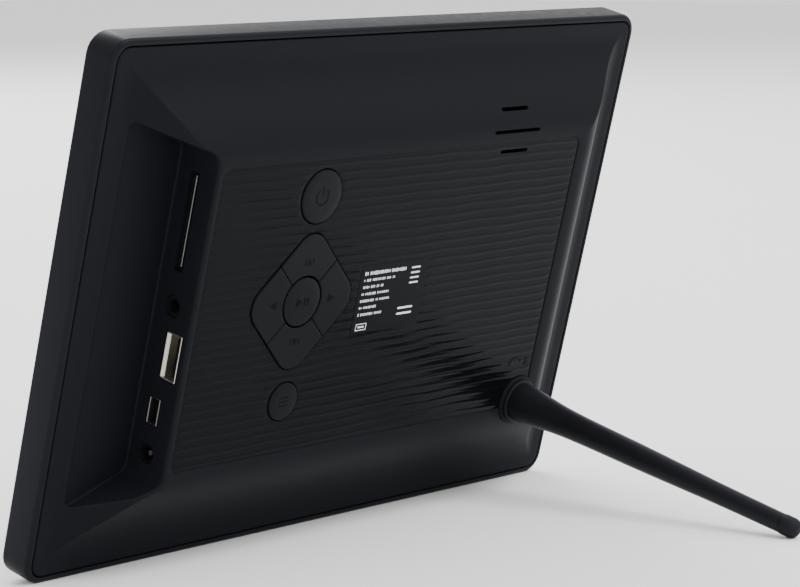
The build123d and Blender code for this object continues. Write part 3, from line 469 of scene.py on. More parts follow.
# ABS, injection moulded in a finely spark-eroded tool: a soft, slightly blue satin black
# whose highlights break up into a fine grain. The grain is drawn at 0.5 mm, coarser than the
# real 0.1 mm, so that it shows.
moulded_black = mottled(black_plastic("moulded_satin_abs", "#121316", 0.48, 0.04), "#111215", "#15161a", 0.5,
                        (0.44, 0.52), 0.004)
# The same ABS from a polished part of the tool: the rim and front catch cleaner highlights.
polished_black = mottled(black_plastic("polished_abs", "#131417", 0.36, 0.06), "#121316", "#16171b", 3.0,
                         (0.32, 0.4), 0.002, bump_grain=0.6)
# The rippled field is moulded from a brightened face: its flats mirror the leg.
rippled_black = mottled(black_plastic("rippled_abs", "#090a0c", 0.16, 0.05), "#08090b", "#0b0c0e", 1.5,
                        (0.14, 0.21), 0.0006, bump_grain=0.8)
# Key caps: ABS from a lightly matted tool, a touch flatter than the field round them.
key_black = mottled(black_plastic("key_cap_abs", "#0c0d10", 0.33, 0.06), "#0b0c0f", "#0f1013", 0.8,
                    (0.30, 0.37), 0.003)
# Icons are pressed into the caps and look a shade darker and shinier than the cap.
icon_black = mottled(black_plastic("pressed_icon_abs", "#060708", 0.25, 0.04), "#050607", "#08090b", 0.6,
                     (0.2, 0.3))
# Leg: turned and polished ABS over its stud, deeper black, smooth.
leg_black = mottled(black_plastic("leg_polished_abs", "#121215", 0.36, 0.12), "#111114", "#151518", 2.0,
                    (0.32, 0.4), 0.002, bump_grain=0.8)
# Moulded rubber: dull, faintly dusty black.
rubber_black = mottled(black_plastic("moulded_rubber", "#111113", 0.62, 0.16), "#0f0f11", "#141417", 0.7,
                       (0.56, 0.7), 0.01)
# Label: matt polyester film, printed in pale grey.
label_film = mottled(black_plastic("polyester_label", "#0b0c0e", 0.4, 0.05), "#0a0b0d", "#0d0e11", 1.0,
                     (0.36, 0.46))
label_ink = mottled(principled("pale_label_ink", "#d3d6da", 0.55), "#c6c9cd", "#dfe1e4", 0.7, (0.5, 0.6))
# Nickel-plated spring steel, drawn and folded: bright, slightly warm, faint drawing lines.
plated_steel = mottled(principled("nickel_plated_steel", "#b4b0a7", 0.38, 1.0), "#a6a299", "#c1bdb4", 0.6,
                       (0.32, 0.46), stretch=(0.15, 1, 1))
# The card socket's sheet edge: the same plating, dulled by forming.
dull_steel = mottled(principled("formed_plated_edge", "#6f6e6b", 0.45, 1.0), "#656461", "#7b7a77", 0.6,
                     (0.36, 0.5))
# Gold-flashed copper alloy contacts.
gold_contact = mottled(principled("gold_flashed_contact", "#c79a4c", 0.25, 1.0), "#b98c40", "#d3a75a", 0.5,
                       (0.2, 0.3))
# Rolled steel sheet of the display module, zinc plated: grey with a soft spangle.
zinc_steel = mottled(principled("zinc_plated_sheet", "#9a9c9e", 0.4, 1.0), "#8c8e90", "#a9abad", 3.0,
                     (0.34, 0.48))
# Screws and stud: zinc-plated steel, turned.
screw_steel = mottled(principled("zinc_plated_screw", "#8b8d90", 0.35, 1.0), "#7b7d80", "#9c9ea1", 0.4,
                      (0.3, 0.42))
# Brass insert: turned and knurled, warm yellow.
turned_brass = mottled(principled("turned_brass", "#b08d4a", 0.32, 1.0), "#a17f3e", "#bf9c58", 0.5,
                       (0.26, 0.38))
# Glass-filled nylon of the socket bodies: dull black with short pale fibres.
socket_nylon = mottled(black_plastic("glass_filled_nylon", "#0d0d0e", 0.5, 0.12), "#0a0a0b", "#121213", 0.4,
                       (0.42, 0.58), 0.004)
# Display glass: anti-glare etched, dark because the panel behind it is off.
dark_glass = mottled(principled("antiglare_display_glass", "#08090b", 0.12, Specular_IOR_Level=0.2),
                     "#07080a", "#0a0b0e", 0.4, (0.1, 0.16))
# Solder-masked fibreglass: deep green, with the weave of the cloth faintly raised.
board_green = mottled(principled("solder_masked_laminate", "#12432a", 0.35), "#0f3a24", "#174d31", 0.8,
                      (0.3, 0.42), 0.003)
# Moulded epoxy of the chips and coils: charcoal, dull.
chip_epoxy = mottled(principled("moulded_epoxy", "#202123", 0.55), "#1b1c1e", "#26272a", 0.3,
                     (0.5, 0.62), 0.003)
# Drawn aluminium cans.
can_metal = mottled(principled("drawn_aluminium", "#c2c4c6", 0.3, 1.0), "#b5b7b9", "#cfd1d3", 0.8,
                    (0.25, 0.36))
# Polyimide film: amber, shiny.
amber_film = mottled(principled("polyimide_film", "#a2601f", 0.25), "#94561a", "#b06c28", 2.0, (0.2, 0.3))
# Closed-cell foam tape.
foam_black = mottled(principled("closed_cell_foam", "#1c1c1d", 0.85), "#161617", "#242425", 0.35,
                     (0.8, 0.9), 0.02)
# Acrylic light guide and films, milky where the dots are printed.
milky_acrylic = mottled(principled("milky_acrylic", "#dfe3e6", 0.3), "#d4d9dd", "#e8ebee", 0.6, (0.25, 0.4))
# Thin formed polymer cone.
cone_film = mottled(principled("formed_cone_film", "#26272a", 0.4), "#202124", "#2d2e31", 0.7, (0.35, 0.5))
# PVC lead insulation, dark red.
lead_red = mottled(principled("pvc_insulation", "#571315", 0.42), "#4b1012", "#631719", 0.6, (0.38, 0.48))
# Black acetal plungers: waxy.
acetal = mottled(principled("acetal", "#1b1c1e", 0.45), "#17181a", "#202123", 0.6, (0.4, 0.5))

SLOT_MATERIALS = {
    "bezel_abs": polished_black, "cover_abs": moulded_black, "key_abs": key_black, "leg_abs": leg_black,
    "grip_rubber": rubber_black, "display_glass": dark_glass, "display_steel": zinc_steel, "foam": foam_black,
    "acrylic": milky_acrylic, "board_laminate": board_green, "chip_epoxy": chip_epoxy,
    "can_aluminium": can_metal, "socket_plastic": socket_nylon, "socket_steel": plated_steel,
    "contact_gold": gold_contact, "ribbon_film": amber_film, "cone_film": cone_film,
    "lead_insulation": lead_red, "label_film": label_film, "insert_brass": turned_brass,
    "screw_steel": screw_steel, "plunger_plastic": acetal}

for row in frame["record"]["subparts"]:
    cad = frame["nodes"][row["node"]]
    cad.data.materials.clear()
    cad.data.materials.append(SLOT_MATERIALS[row["material_slot"]])


# ---------------------------------------------------------------- front bezel
def make_bezel():
    """A closed section carried round the rounded rectangle: window edge, front face, rounded
    front corner, side, rounded rim, groove wall, ledge and the inside of the face."""
    front = 1.0
    outer = [(front - front * math.sin(a), front - front * math.cos(a))
             for a in np.radians(np.linspace(0, 90, 7))]
    rim = [(RIM_ROUND - RIM_ROUND * math.cos(a), RIM_Y - RIM_ROUND + RIM_ROUND * math.sin(a))
           for a in np.radians(np.linspace(0, 90, 8))]
    lip = 0.25
    groove = [(RIM_WALL - lip + lip * math.sin(a), RIM_Y - lip + lip * math.cos(a))
              for a in np.radians(np.linspace(0, 90, 4))]
    inner = [(RIM_WALL, SEAT_Y), (RIM_WALL + LEDGE, SEAT_Y), (RIM_WALL + LEDGE, FACE_Y)]
    rings = []
    for inset, y in outer + rim + groove + inner:
        loop = rounded_box(HALF_W - inset, HALF_H - inset, CORNER - inset)
        rings.append(raised(loop, y))
    bevel = 1.0
    window = [(0, FACE_Y), (0, bevel), (bevel * 0.12, bevel * 0.72), (bevel * 0.88, bevel * 0.1), (bevel, 0)]
    for outset, y in window:
        loop = rounded_box(WINDOW_HALF_W + outset, WINDOW_HALF_H + outset, 0.4 + outset)
        rings.append(raised(loop, y))
    rings.append(rings[0])
    return Shape().grid(rings)


piece("front_bezel_moulding", make_bezel(), "housing", polished_black, ["front_bezel"])


# ---------------------------------------------------------------- back cover
def dome_height(flat):
    """Height of the back: two crossed S-curves, the lower of the two, with the crease where
    they meet softened by a smooth minimum."""
    x, z = np.abs(flat).T
    foot_w = COVER_HALF_W - MARGIN
    foot_h = COVER_HALF_H - MARGIN
    rise = TOP_Y - RIM_Y
    side = rise * smoothstep((foot_w - x) / (foot_w - TOP_HALF_W))
    end = rise * smoothstep((foot_h - z) / (foot_h - TOP_HALF_H))
    blend = 0.22 * np.minimum(np.minimum(side, end), rise - np.maximum(side, end)).clip(0, MITRE_ROUND) + 1e-6
    gap = np.clip(blend - np.abs(side - end), 0, None)
    return RIM_Y + np.minimum(side, end) - gap * gap / (4 * blend)


def bay_line():
    """The bay's outline: narrower at the socket wall, round inner corners, small outer ones."""
    corners = [(BAY_X, -BAY_HALF), (BAY_OUTER_X, -BAY_OUTER_HALF), (BAY_OUTER_X, BAY_OUTER_HALF),
               (BAY_X, BAY_HALF)]
    return divided(rounded_polygon(corners, [BAY_CORNER, 1.6, 1.6, BAY_CORNER], 9), 1.6)


def bay_floor(flat):
    """Height of the bay's floor: it falls evenly from the outer side to the socket wall."""
    share = (flat[:, 0] - BAY_X) / (BAY_OUTER_X - BAY_X)
    return RIM_Y - BAY_DROP * (1 - share)


def field_line(inset=0.0):
    """The rippled field's outline: a rounded rectangle with a bite round the leg's boss."""
    half_w = FIELD_HALF_W - inset
    half_h = FIELD_HALF_H - inset
    bite = BOSS_R - 0.5 + inset
    reach_z = LEG_Z + math.sqrt(bite ** 2 - (LEG_X + half_w) ** 2)
    reach_x = LEG_X + math.sqrt(bite ** 2 - (LEG_Z + half_h) ** 2)
    first = math.degrees(math.atan2(reach_z - LEG_Z, -half_w - LEG_X))
    last = math.degrees(math.atan2(-half_h - LEG_Z, reach_x - LEG_X))
    bite_arc = arc(LEG_X, LEG_Z, bite, first, last, 16)
    radius = FIELD_CORNER - inset
    right_low = arc(half_w - radius, -half_h + radius, radius, -90, 0, 9)
    right_high = arc(half_w - radius, half_h - radius, radius, 0, 90, 9)
    left_high = arc(-half_w + radius, half_h - radius, radius, 90, 180, 9)
    return np.concatenate([right_low, right_high, left_high, bite_arc])


def down_profile(steps):
    """A rounded edge: (share of the radius outwards, share of the radius down)."""
    angle = np.radians(np.linspace(0, 90, steps))
    return [(1 - math.sin(a), 1 - math.cos(a)) for a in angle]


def window_outlines():
    """The openings in the bay's wall, as (z, y) outlines."""
    return [rounded_box(13.5, 1.6, 0.5, 4) + SOCKETS["sd"], circle(*SOCKETS["jack"], 3.1, 40),
            rounded_box(6.75, 3.05, 0.3, 4) + SOCKETS["usb_a"],
            rounded_box(4.05, 2.15, 0.3, 4) + SOCKETS["mini_usb"], circle(*SOCKETS["dc"], 2.7, 36)]


def make_cover():
    """The back's outer surface, open inside: edge, bay with its socket wall, the field's recess
    and the dome. piece() gives it its wall."""
    shape = Shape()
    edge = [(EDGE_ROUND * s, RIM_Y - EDGE_ROUND * d) for s, d in down_profile(5)]
    rings = []
    for inset, y in edge + [(0, SEAT_Y + 0.05)]:
        loop = divided(rounded_box(COVER_HALF_W - inset, COVER_HALF_H - inset, COVER_CORNER - inset), 3.0)
        rings.append(raised(loop, y))
    shape.grid(rings, flip=True)
    outline = rings[0][:, [0, 2]]

    # The bay: rounded lip, upright walls, fillet and floor.
    line = bay_line()
    away = outward(line)
    lip = line + away * BAY_LIP
    lip_y = dome_height(lip)
    most = 0.45 * (lip_y - bay_floor(line))
    lip_r = np.minimum(BAY_LIP, most)
    low_r = np.minimum(BAY_FILLET, most)
    rows = []
    for s, d in down_profile(7):
        rows.append(np.stack([line[:, 0] + away[:, 0] * BAY_LIP * s, lip_y - lip_r * d,
                              line[:, 1] + away[:, 1] * BAY_LIP * s], axis=-1))
    wall_top = len(rows) - 1
    for s, d in down_profile(6):
        moved = line - away * BAY_FILLET * d
        rows.append(raised(moved, bay_floor(moved) + low_r * s))
    rows = np.array(rows)
    straight = (np.abs(line[:, 0] - BAY_X) < 1e-3) & (np.abs(line[:, 1]) < BAY_HALF - BAY_CORNER + 1.0)
    flat_side = straight & np.roll(straight, -1)
    shape.grid(rows[:wall_top + 1], flip=True)
    shape.grid(rows[wall_top + 1:], flip=True)
    between = Shape().grid(rows[wall_top:wall_top + 2], flip=True)
    shape.add(between.points[0], between.faces[0][~flat_side])

    # The socket wall, a flat patch with the socket openings.
    ends = np.where(straight)[0]
    order = ends[np.argsort(line[ends, 1])]
    low_row = rows[wall_top + 1][order]
    top_row = rows[wall_top][order]
    patch_line = np.concatenate([low_row[:, [2, 1]], top_row[::-1][:, [2, 1]]])
    inner = grid_points(np.arange(-41, 42, 2.0), np.arange(11, 22, 2.0))
    flat, triangles = sheet(patch_line, window_outlines(), inner)
    points = np.stack([np.full(len(flat), BAY_X), flat[:, 1], flat[:, 0]], axis=-1)
    shape.add(points, triangles[:, ::-1])

    # The floor.
    floor_line = rows[-1][:, [0, 2]]
    inner = grid_points(np.arange(78, 98, 2.5), np.arange(-50, 51, 3.0))
    flat, triangles = sheet(floor_line, [], inner)
    shape.add(raised(flat, bay_floor(flat)), triangles[:, ::-1])

    # The field's recess: its rounded edge, down to below the rippled skin.
    field = divided(field_line(), 3.0)
    away_field = outward(field)
    recess = [raised(field + away_field * OPENING_ROUND * s, TOP_Y - OPENING_ROUND * d)
              for s, d in down_profile(4)]
    recess.append(raised(field, TOP_Y - RECESS_DEPTH))
    shape.grid(recess, flip=True)

    # The dome itself, cut out round the bay, the field, the loudspeaker slots and the boss.
    spacing = [1.2, 0.8, 4.0, 0.8, 1.2]
    xs, zs = [steps_between([-half, -half + MARGIN, -top, top, half - MARGIN, half], spacing)
              for half, top in ((COVER_HALF_W, TOP_HALF_W), (COVER_HALF_H, TOP_HALF_H))]
    ridge = np.linspace(0, 1, 60)[:, None]
    ridge_low = np.array([COVER_HALF_W - MARGIN, COVER_HALF_H - MARGIN])
    ridge_line = ridge_low + (np.array([TOP_HALF_W, TOP_HALF_H]) - ridge_low) * ridge
    extra = np.concatenate([ridge_line + (shift, -shift) for shift in (-0.45, -0.2, 0, 0.2, 0.45)])
    corners = np.concatenate([extra * (a, b) for a in (1, -1) for b in (1, -1)])
    inner = np.concatenate([grid_points(xs, zs), corners])
    holes = [lip, recess[0][:, [0, 2]], circle(LEG_X, LEG_Z, 5.6, 40)]
    holes += [slot_outline(SPEAKER_X, z, length) for z, length in SLOTS[:2]]
    flat, triangles = sheet(outline, holes, inner)
    shape.add(raised(flat, dome_height(flat)), triangles[:, ::-1])
    return shape


piece("back_cover_moulding", make_cover(), "housing", moulded_black, ["back_cover"],
      wall=COVER_WALL, angle=40)


# ---------------------------------------------------------------- rippled field
def pad_line():
    """The four-way pad: a square on its corner with rounded corners."""
    half = PAD_HALF * math.sqrt(2)
    corners = [(0, -half), (half, 0), (0, half), (-half, 0)]
    return rounded_polygon(corners, [PAD_CORNER] * 4, 9) + (KEY_X, PAD_Z)


def label_line():
    """The rating label's outline."""
    return rounded_box(LABEL_W / 2, LABEL_H / 2, 1.0) + (LABEL_X, LABEL_Z)


def ripple(flat, edges):
    """Level ribs like combed wood grain. Across z each pitch is half a flat land and half a low
    rib, h(1 - |t|^1.2) with t from -1 to 1 across it, and fine sines over both. The ribs' phase
    wanders a little along x, and everything fades out beside an edge."""
    x, z = flat.T
    wander = 0.10 * np.sin(x / 6.1 + z / 5.3) + 0.07 * np.sin(x / 3.3 - z / 4.0 + 1.7)
    wander += 0.22 * np.sin(x / 31.0 + z / 23.0 + 0.6)
    turn = (z + wander) / RIPPLE_PITCH
    count = np.floor(turn)
    half = 0.25 + 0.04 * np.sin(x / 7.7 + 2.1 * count)
    t = (turn - count - 0.5) / half
    rib = 1 - np.minimum(np.abs(t), 1) ** 1.2
    grain = 0.05 * np.sin(x / 2.3 + 5.0 * turn) * np.sin(z / 1.9 + x / 13.0)
    near = np.full(len(flat), 9.0)
    for loop in edges:
        near = np.minimum(near, distance_to(flat, loop))
    fade = smoothstep((near - 0.15) / 0.9)
    return fade * RIPPLE_HEIGHT * (rib + grain)


def make_field():
    """The field's skin: fine rows across the ribs, cut exactly at the openings, each with a small
    rounded lip that turns down into the opening, and a plain back."""
    shape = Shape()
    back_y = FIELD_Y - FIELD_WALL
    holes = [(circle(KEY_X, POWER_Z, POWER_R), OPENING_ROUND),
             (circle(KEY_X, MENU_Z, MENU_R, 60), OPENING_ROUND),
             (divided(pad_line(), 2.5), OPENING_ROUND), (slot_outline(SPEAKER_X, *SLOTS[2]), FIELD_EDGE)]
    lips = []
    for hole, radius in holes:
        away = outward(hole)
        rows = [raised(hole + away * radius * s, FIELD_Y - radius * d) for s, d in down_profile(4)]
        shape.grid(rows + [raised(hole, back_y)], flip=True)
        lips.append(rows[0][:, [0, 2]])
    outline = divided(field_line(FIELD_GAP), 1.5)
    away = outward(outline)
    rows = [raised(outline - away * FIELD_EDGE * (1 - s), FIELD_Y - FIELD_EDGE * d)
            for s, d in down_profile(4)][::-1]
    shape.grid([raised(outline, back_y)] + rows)
    rim = rows[-1][:, [0, 2]]
    inner = grid_points(np.arange(-FIELD_HALF_W + 0.5, FIELD_HALF_W, 1.0),
                        np.arange(-FIELD_HALF_H + 0.3, FIELD_HALF_H, 0.21))
    flat, triangles = sheet(rim, lips, inner)
    under_label = inside(flat, label_line())
    height = ripple(flat, [rim] + lips + [label_line()]) * ~under_label
    shape.add(raised(flat, FIELD_Y + height), triangles[:, ::-1])
    inner = grid_points(np.arange(-70, 71, 7.0), np.arange(-38, 39, 7.0))
    flat, triangles = sheet(outline, [hole for hole, _ in holes], inner)
    shape.add(raised(flat, back_y), triangles)
    return shape


piece("rippled_field", make_field(), "housing", rippled_black, angle=50)


# ---------------------------------------------------------------- keys
def cap(outline, crown, flange):
    """A key cap: a nearly flat top, a rounded edge, a side that runs down into its opening, and
    a flange below it that keeps it in, as wide at each point as the given widths say."""
    shape = Shape()
    away = outward(outline)
    brim = outline + away * flange[:, None]
    flange_top = KEY_LOW_Y + FLANGE_HEIGHT
    rows = [raised(brim, KEY_LOW_Y), raised(brim, flange_top), raised(outline, flange_top + 0.02)]
    rows += [raised(outline - away * CAP_ROUND * (1 - math.cos(a)), KEY_TOP_Y - CAP_ROUND * (1 - math.sin(a)))
             for a in np.radians(np.linspace(0, 90, 6))]
    shape.grid(rows)
    rim = rows[-1][:, [0, 2]]
    low, high = rim.min(axis=0), rim.max(axis=0)
    inner = grid_points(np.arange(low[0], high[0], 0.8), np.arange(low[1], high[1], 0.8))
    flat, triangles = sheet(rim, [], inner)
    middle = (low + high) / 2
    reach = np.linalg.norm(high - low) / 2
    lift = crown * (1 - np.clip(np.linalg.norm(flat - middle, axis=1) / reach, 0, 1) ** 2)
    lift *= smoothstep(distance_to(flat, rim) / 1.5)
    shape.add(raised(flat, KEY_TOP_Y + lift), triangles[:, ::-1])
    flat, triangles = sheet(brim, [], NO_POINTS)
    shape.add(raised(flat, KEY_LOW_Y), triangles)
    return shape


def quarter_line(way):
    """One direction key: a quarter of the pad, its inner corner cut by the middle key's circle."""
    low = PAD_SPLIT / 2
    high = PAD_HALF - KEY_GAP
    inner = PLAY_R + KEY_GAP
    start = math.degrees(math.asin(low / inner))
    bend = rounded_polygon([(low, low), (high, low), (high, high), (low, high)],
                           [0, 0.35, PAD_CORNER - KEY_GAP, 0.35], 9)[1:]
    cut = arc(0, 0, inner, 90 - start, start, 20)
    points = divided(np.concatenate([bend, cut]), 2.0)
    return spun(points, math.atan2(way[1], way[0]) - math.pi / 4) + (KEY_X, PAD_Z)


def icon_bar(length, width, at, turn=0.0):
    """A flat stroke with rounded ends."""
    radius = width / 2
    reach = max(length / 2 - radius, 0)
    loop = np.concatenate([arc(reach, 0, radius, -90, 90, 5), arc(-reach, 0, radius, 90, 270, 5)])
    return spun(loop, turn) + at


def icon_wedge(size, at, turn):
    """A filled arrowhead, which points along x before it is turned."""
    corners = [(-size * 0.5, -size * 0.6), (size * 0.6, 0), (-size * 0.5, size * 0.6)]
    return spun(rounded_polygon(corners, [0.12] * 3, 4), turn) + at


def icon_ring(radius, width, start, end, at):
    """Part of a ring, from one angle to another."""
    outer = arc(0, 0, radius + width / 2, start, end, 26)
    return np.concatenate([outer, arc(0, 0, radius - width / 2, end, start, 26)]) + at


def relief(loops, low_y, high_y, edge=0.03):
    """Thin raised marks: each outline with an upright side, a bevelled edge and a flat top."""
    shape = Shape()
    for loop in loops:
        away = outward(loop)
        rows = [raised(loop, low_y), raised(loop, high_y - edge), raised(loop - away * edge, high_y)]
        shape.grid(rows)
        flat, triangles = sheet(rows[-1][:, [0, 2]], [], NO_POINTS)
        shape.add(raised(flat, high_y), triangles[:, ::-1])
        flat, triangles = sheet(loop, [], NO_POINTS)
        shape.add(raised(flat, low_y), triangles)
    return shape


UP, DOWN, LEFT, RIGHT = math.pi / 2, -math.pi / 2, 0.0, math.pi
PAD_KEYS = {"key_up": (0, 1), "key_down": (0, -1), "key_left": (1, 0), "key_right": (-1, 0)}
BODIES = {"key_up": "up_key", "key_down": "down_key", "key_left": "left_key", "key_right": "right_key",
          "power_button": "power_key", "play_button": "play_key", "menu_button": "menu_key"}
caps = {name: (quarter_line(way), 0.0) for name, way in PAD_KEYS.items()}
caps["power_button"] = (circle(KEY_X, POWER_Z, POWER_R - KEY_GAP), 0.18)
caps["play_button"] = (circle(KEY_X, PAD_Z, PLAY_R - KEY_GAP), 0.15)
caps["menu_button"] = (circle(KEY_X, MENU_Z, MENU_R - KEY_GAP, 60), 0.15)
pad_edge = pad_line()
for name, (outline, crown) in caps.items():
    flange = np.full(len(outline), 0.0 if name == "play_button" else FLANGE)
    if name in PAD_KEYS:
        flange[distance_to(outline, pad_edge) > KEY_GAP + 0.02] = 0
    piece(name + "_cap", cap(outline, crown, flange), BODIES[name], key_black, [name])

def skip_icon(way):
    """A direction key's arrowhead between two bars, above or below the pad's middle."""
    z = PAD_Z + ICON_OUT * way
    return [icon_bar(1.9, 0.5, (KEY_X + 1.6, z), UP), icon_wedge(1.9, (KEY_X, z), UP * way),
            icon_bar(1.9, 0.5, (KEY_X - 1.6, z), UP)]


icons = {
    "power_button": [icon_ring(2.3, 0.55, 125, 415, (KEY_X, POWER_Z)),
                     icon_bar(2.6, 0.55, (KEY_X, POWER_Z + 1.6), UP)],
    "play_button": [icon_wedge(2.2, (KEY_X + 1.3, PAD_Z), RIGHT),
                    *[icon_bar(2.5, 0.6, (KEY_X - out, PAD_Z), UP) for out in (0.9, 2.1)]],
    "menu_button": [icon_bar(3.6, 0.5, (KEY_X, MENU_Z + k * 1.15)) for k in (-1, 0, 1)],
    "key_up": skip_icon(1), "key_down": skip_icon(-1),
    "key_left": [icon_wedge(2.3, (KEY_X + ICON_OUT, PAD_Z), LEFT)],
    "key_right": [icon_wedge(2.3, (KEY_X - ICON_OUT, PAD_Z), RIGHT)]}
for name, loops in icons.items():
    lift = caps[name][1]
    piece(name + "_mark", relief(loops, KEY_TOP_Y - 0.05, KEY_TOP_Y + lift + 0.04), BODIES[name], icon_black,
          angle=20)

# ---------------------------------------------------------------- rating label
piece("label_film", relief([label_line()], FIELD_Y - 0.3, LABEL_Y), "housing", label_film,
      ["rating_label"], angle=20)
draw = np.random.default_rng(7)


def label_rows():
    """Rows of short upright strokes where a label has its print."""
    loops = []
    for row, length in enumerate((17.5, 13.5, 9.5, 12.0, 12.5, 7.5, 10.5)):
        z = LABEL_Z + 7.6 - row * 2.02
        x = LABEL_X + LABEL_W / 2 - 1.8
        tall = 1.15 if row == 0 else 0.85
        left = length
        while left > 0.6:
            stroke = float(draw.uniform(0.26, 0.5)) * (1.4 if row == 0 else 1.0)
            loops.append(rounded_box(stroke / 2, tall / 2 * float(draw.uniform(0.7, 1.0)), 0.08, 2) + (x, z))
            step = stroke + float(draw.choice([0.22, 0.26, 0.75], p=[0.45, 0.4, 0.15]))
            x -= step
            left -= step
    return loops


print_loops = label_rows()
sign_x = LABEL_X - LABEL_W / 2 + 5.2
box_x = LABEL_X + LABEL_W / 2 - 3.9
box_z = LABEL_Z - 8.2
# Plain level bars where a label has its signs: length, width, place beside the sign's middle.
print_loops += [icon_bar(length, width, (sign_x + x, LABEL_Z + z)) for length, width, x, z in (
    (3.8, 0.5, -0.2, 7.6), (3.8, 0.5, -0.2, 6.1), (3.8, 0.5, -0.2, 4.6), (3.8, 0.5, -0.2, 3.1),
    (6.4, 0.6, 1.4, -4.2), (6.4, 0.6, 1.4, -5.9))]
print_loops += [icon_bar(4.4, 0.22, (box_x, box_z + k)) for k in (-0.9, 0.9)]
print_loops += [icon_bar(1.8, 0.22, (box_x + k, box_z), UP) for k in (-2.1, 2.1)]
print_loops.append(icon_bar(2.8, 0.5, (box_x, box_z)))
piece("label_print", relief(print_loops, LABEL_Y - 0.02, LABEL_Y + 0.03, 0.01), "housing", label_ink,
      angle=20)


# ---------------------------------------------------------------- leg, washer and boss
def turned(profile, steps=96):
    """A profile of (radius, y) pairs turned round the leg's axis; a radius of 0 is a pole."""
    angle = np.radians(np.arange(steps) * 360 / steps)
    radius, y = np.asarray(profile, float).T
    ring = np.stack([np.cos(angle), np.sin(angle)], axis=-1)
    x = LEG_X + radius[:, None] * ring[:, 0]
    z = LEG_Z + radius[:, None] * ring[:, 1]
    return Shape().grid(np.stack([x, np.broadcast_to(y[:, None], x.shape), z], axis=-1))


def edge_round(radius_at, y_at, size, start, end, steps=5):
    """A rounded edge of a turned profile, about a middle, between two angles in degrees."""
    angle = np.radians(np.linspace(start, end, steps))
    return [(radius_at + size * math.cos(a), y_at + size * math.sin(a)) for a in angle]


def smooth_through(knots, count):
    """Radii between knots (y, radius) by smooth monotone cubic pieces."""
    y, r = np.asarray(knots, float).T
    slope = np.diff(r) / np.diff(y)
    tangent = np.concatenate([[slope[0]], (slope[:-1] + slope[1:]) / 2, [slope[-1]]])
    at = np.linspace(y[0], y[-1], count)
    k = np.clip(np.searchsorted(y, at, side="right") - 1, 0, len(slope) - 1)
    width = y[k + 1] - y[k]
    t = (at - y[k]) / width
    radius = ((2 * t ** 3 - 3 * t ** 2 + 1) * r[k] + (t ** 3 - 2 * t ** 2 + t) * width * tangent[k]
              + (3 * t ** 2 - 2 * t ** 3) * r[k + 1] + (t ** 3 - t ** 2) * width * tangent[k + 1])
    return list(zip(radius, at))


FOOT_Y = LEG_TIP_Y - 5.6
boss = ([(5.2, 20.6), (BOSS_R, 20.6)] + edge_round(BOSS_R - 0.45, BOSS_Y - 0.45, 0.45, 0, 90)
        + edge_round(5.2 + 0.25, BOSS_Y - 0.25, 0.25, 90, 180) + [(5.2, 20.6)])
piece("leg_boss_ring", turned(boss), "housing", moulded_black)

washer = (edge_round(3.1 + 0.15, 23.75, 0.15, 180, 270, 4) + edge_round(6.6 - 0.3, 23.9, 0.3, -90, 0)
          + edge_round(6.6 - 0.3, 24.3, 0.3, 0, 90) + edge_round(3.1 + 0.15, 24.45, 0.15, 90, 180, 4))
washer.append(washer[0])
piece("leg_grip_washer", turned(washer), "leg_collar", rubber_black, ["leg_washer"])

# The leg's radius at distances from its base: a flare that runs out into a slow taper.
flare = [(LEG_Y + out, radius) for out, radius in (
    (0.4, 5.8), (2.0, 5.78), (4.2, 5.62), (9.3, 5.08), (15.3, 4.48), (21.3, 4.15), (45.3, 3.72), (60.3, 3.38),
    (74.3, 3.05))] + [(FOOT_Y, 2.8)]
rod = ([(3.0, LEG_Y)] + edge_round(5.8 - 0.4, LEG_Y + 0.4, 0.4, -90, 0, 6) + smooth_through(flare, 90)
       + edge_round(2.75 - 0.12, FOOT_Y - 0.12, 0.12, 0, 90, 3)
       + [(1.7, FOOT_Y), (1.7, FOOT_Y + 3.2), (0, FOOT_Y + 3.2)])
rod = [(0, LEG_Y + 14.0), (3.0, LEG_Y + 14.0)] + rod
piece("leg_rod_turned", turned(rod), "leg", leg_black, ["leg_rod"])

foot = ([(1.75, FOOT_Y + 3.25), (1.75, FOOT_Y + 0.05)] + edge_round(2.95 - 0.35, FOOT_Y + 0.4, 0.35, -90, 0)
        + edge_round(2.95 - 2.5, LEG_TIP_Y - 2.5, 2.5, 0, 90, 12) + [(0, LEG_TIP_Y)])
foot = [(0, FOOT_Y + 3.25)] + foot
piece("leg_rubber_foot", turned(foot), "leg", rubber_black, ["leg_foot"])


# ---------------------------------------------------------------- sockets' metal mouths
def mouth(z, y, half_z, half_y, x_mouth, x_back, sheet_mm, low_lip, other_lip):
    """A folded sheet tube that opens towards +x. Its mouth is flared inside: the lip on the
    low-y side runs in at 45 degrees over low_lip, the others over other_lip."""
    def ring(inset, x, low_shift=0.0):
        loop = rounded_box(half_z - inset, half_y - inset, 0.35, 5)
        share = np.clip(-loop[:, 1] / (half_y - inset), 0, 1)
        return np.stack([np.full(len(loop), x), y + loop[:, 1] + low_shift * share, z + loop[:, 0]], axis=-1)
    inner = sheet_mm + other_lip
    rows = [ring(0, x_back), ring(0, x_mouth - 0.12), ring(0.08, x_mouth - 0.03), ring(0.16, x_mouth),
            ring(sheet_mm, x_mouth - 0.04), ring(inner, x_mouth - 0.1 - other_lip, low_lip * 0.35),
            ring(inner, x_mouth - 0.2 - low_lip * 0.8, low_lip - other_lip),
            ring(sheet_mm, x_mouth - 0.8 - low_lip * 1.6), ring(sheet_mm, x_back + 1.5)]
    shape = Shape().grid(rows)
    shape.fan(rows[-1], (x_back + 1.5, y, z))
    shape.fan(rows[0], (x_back, y, z), flip=True)
    return shape


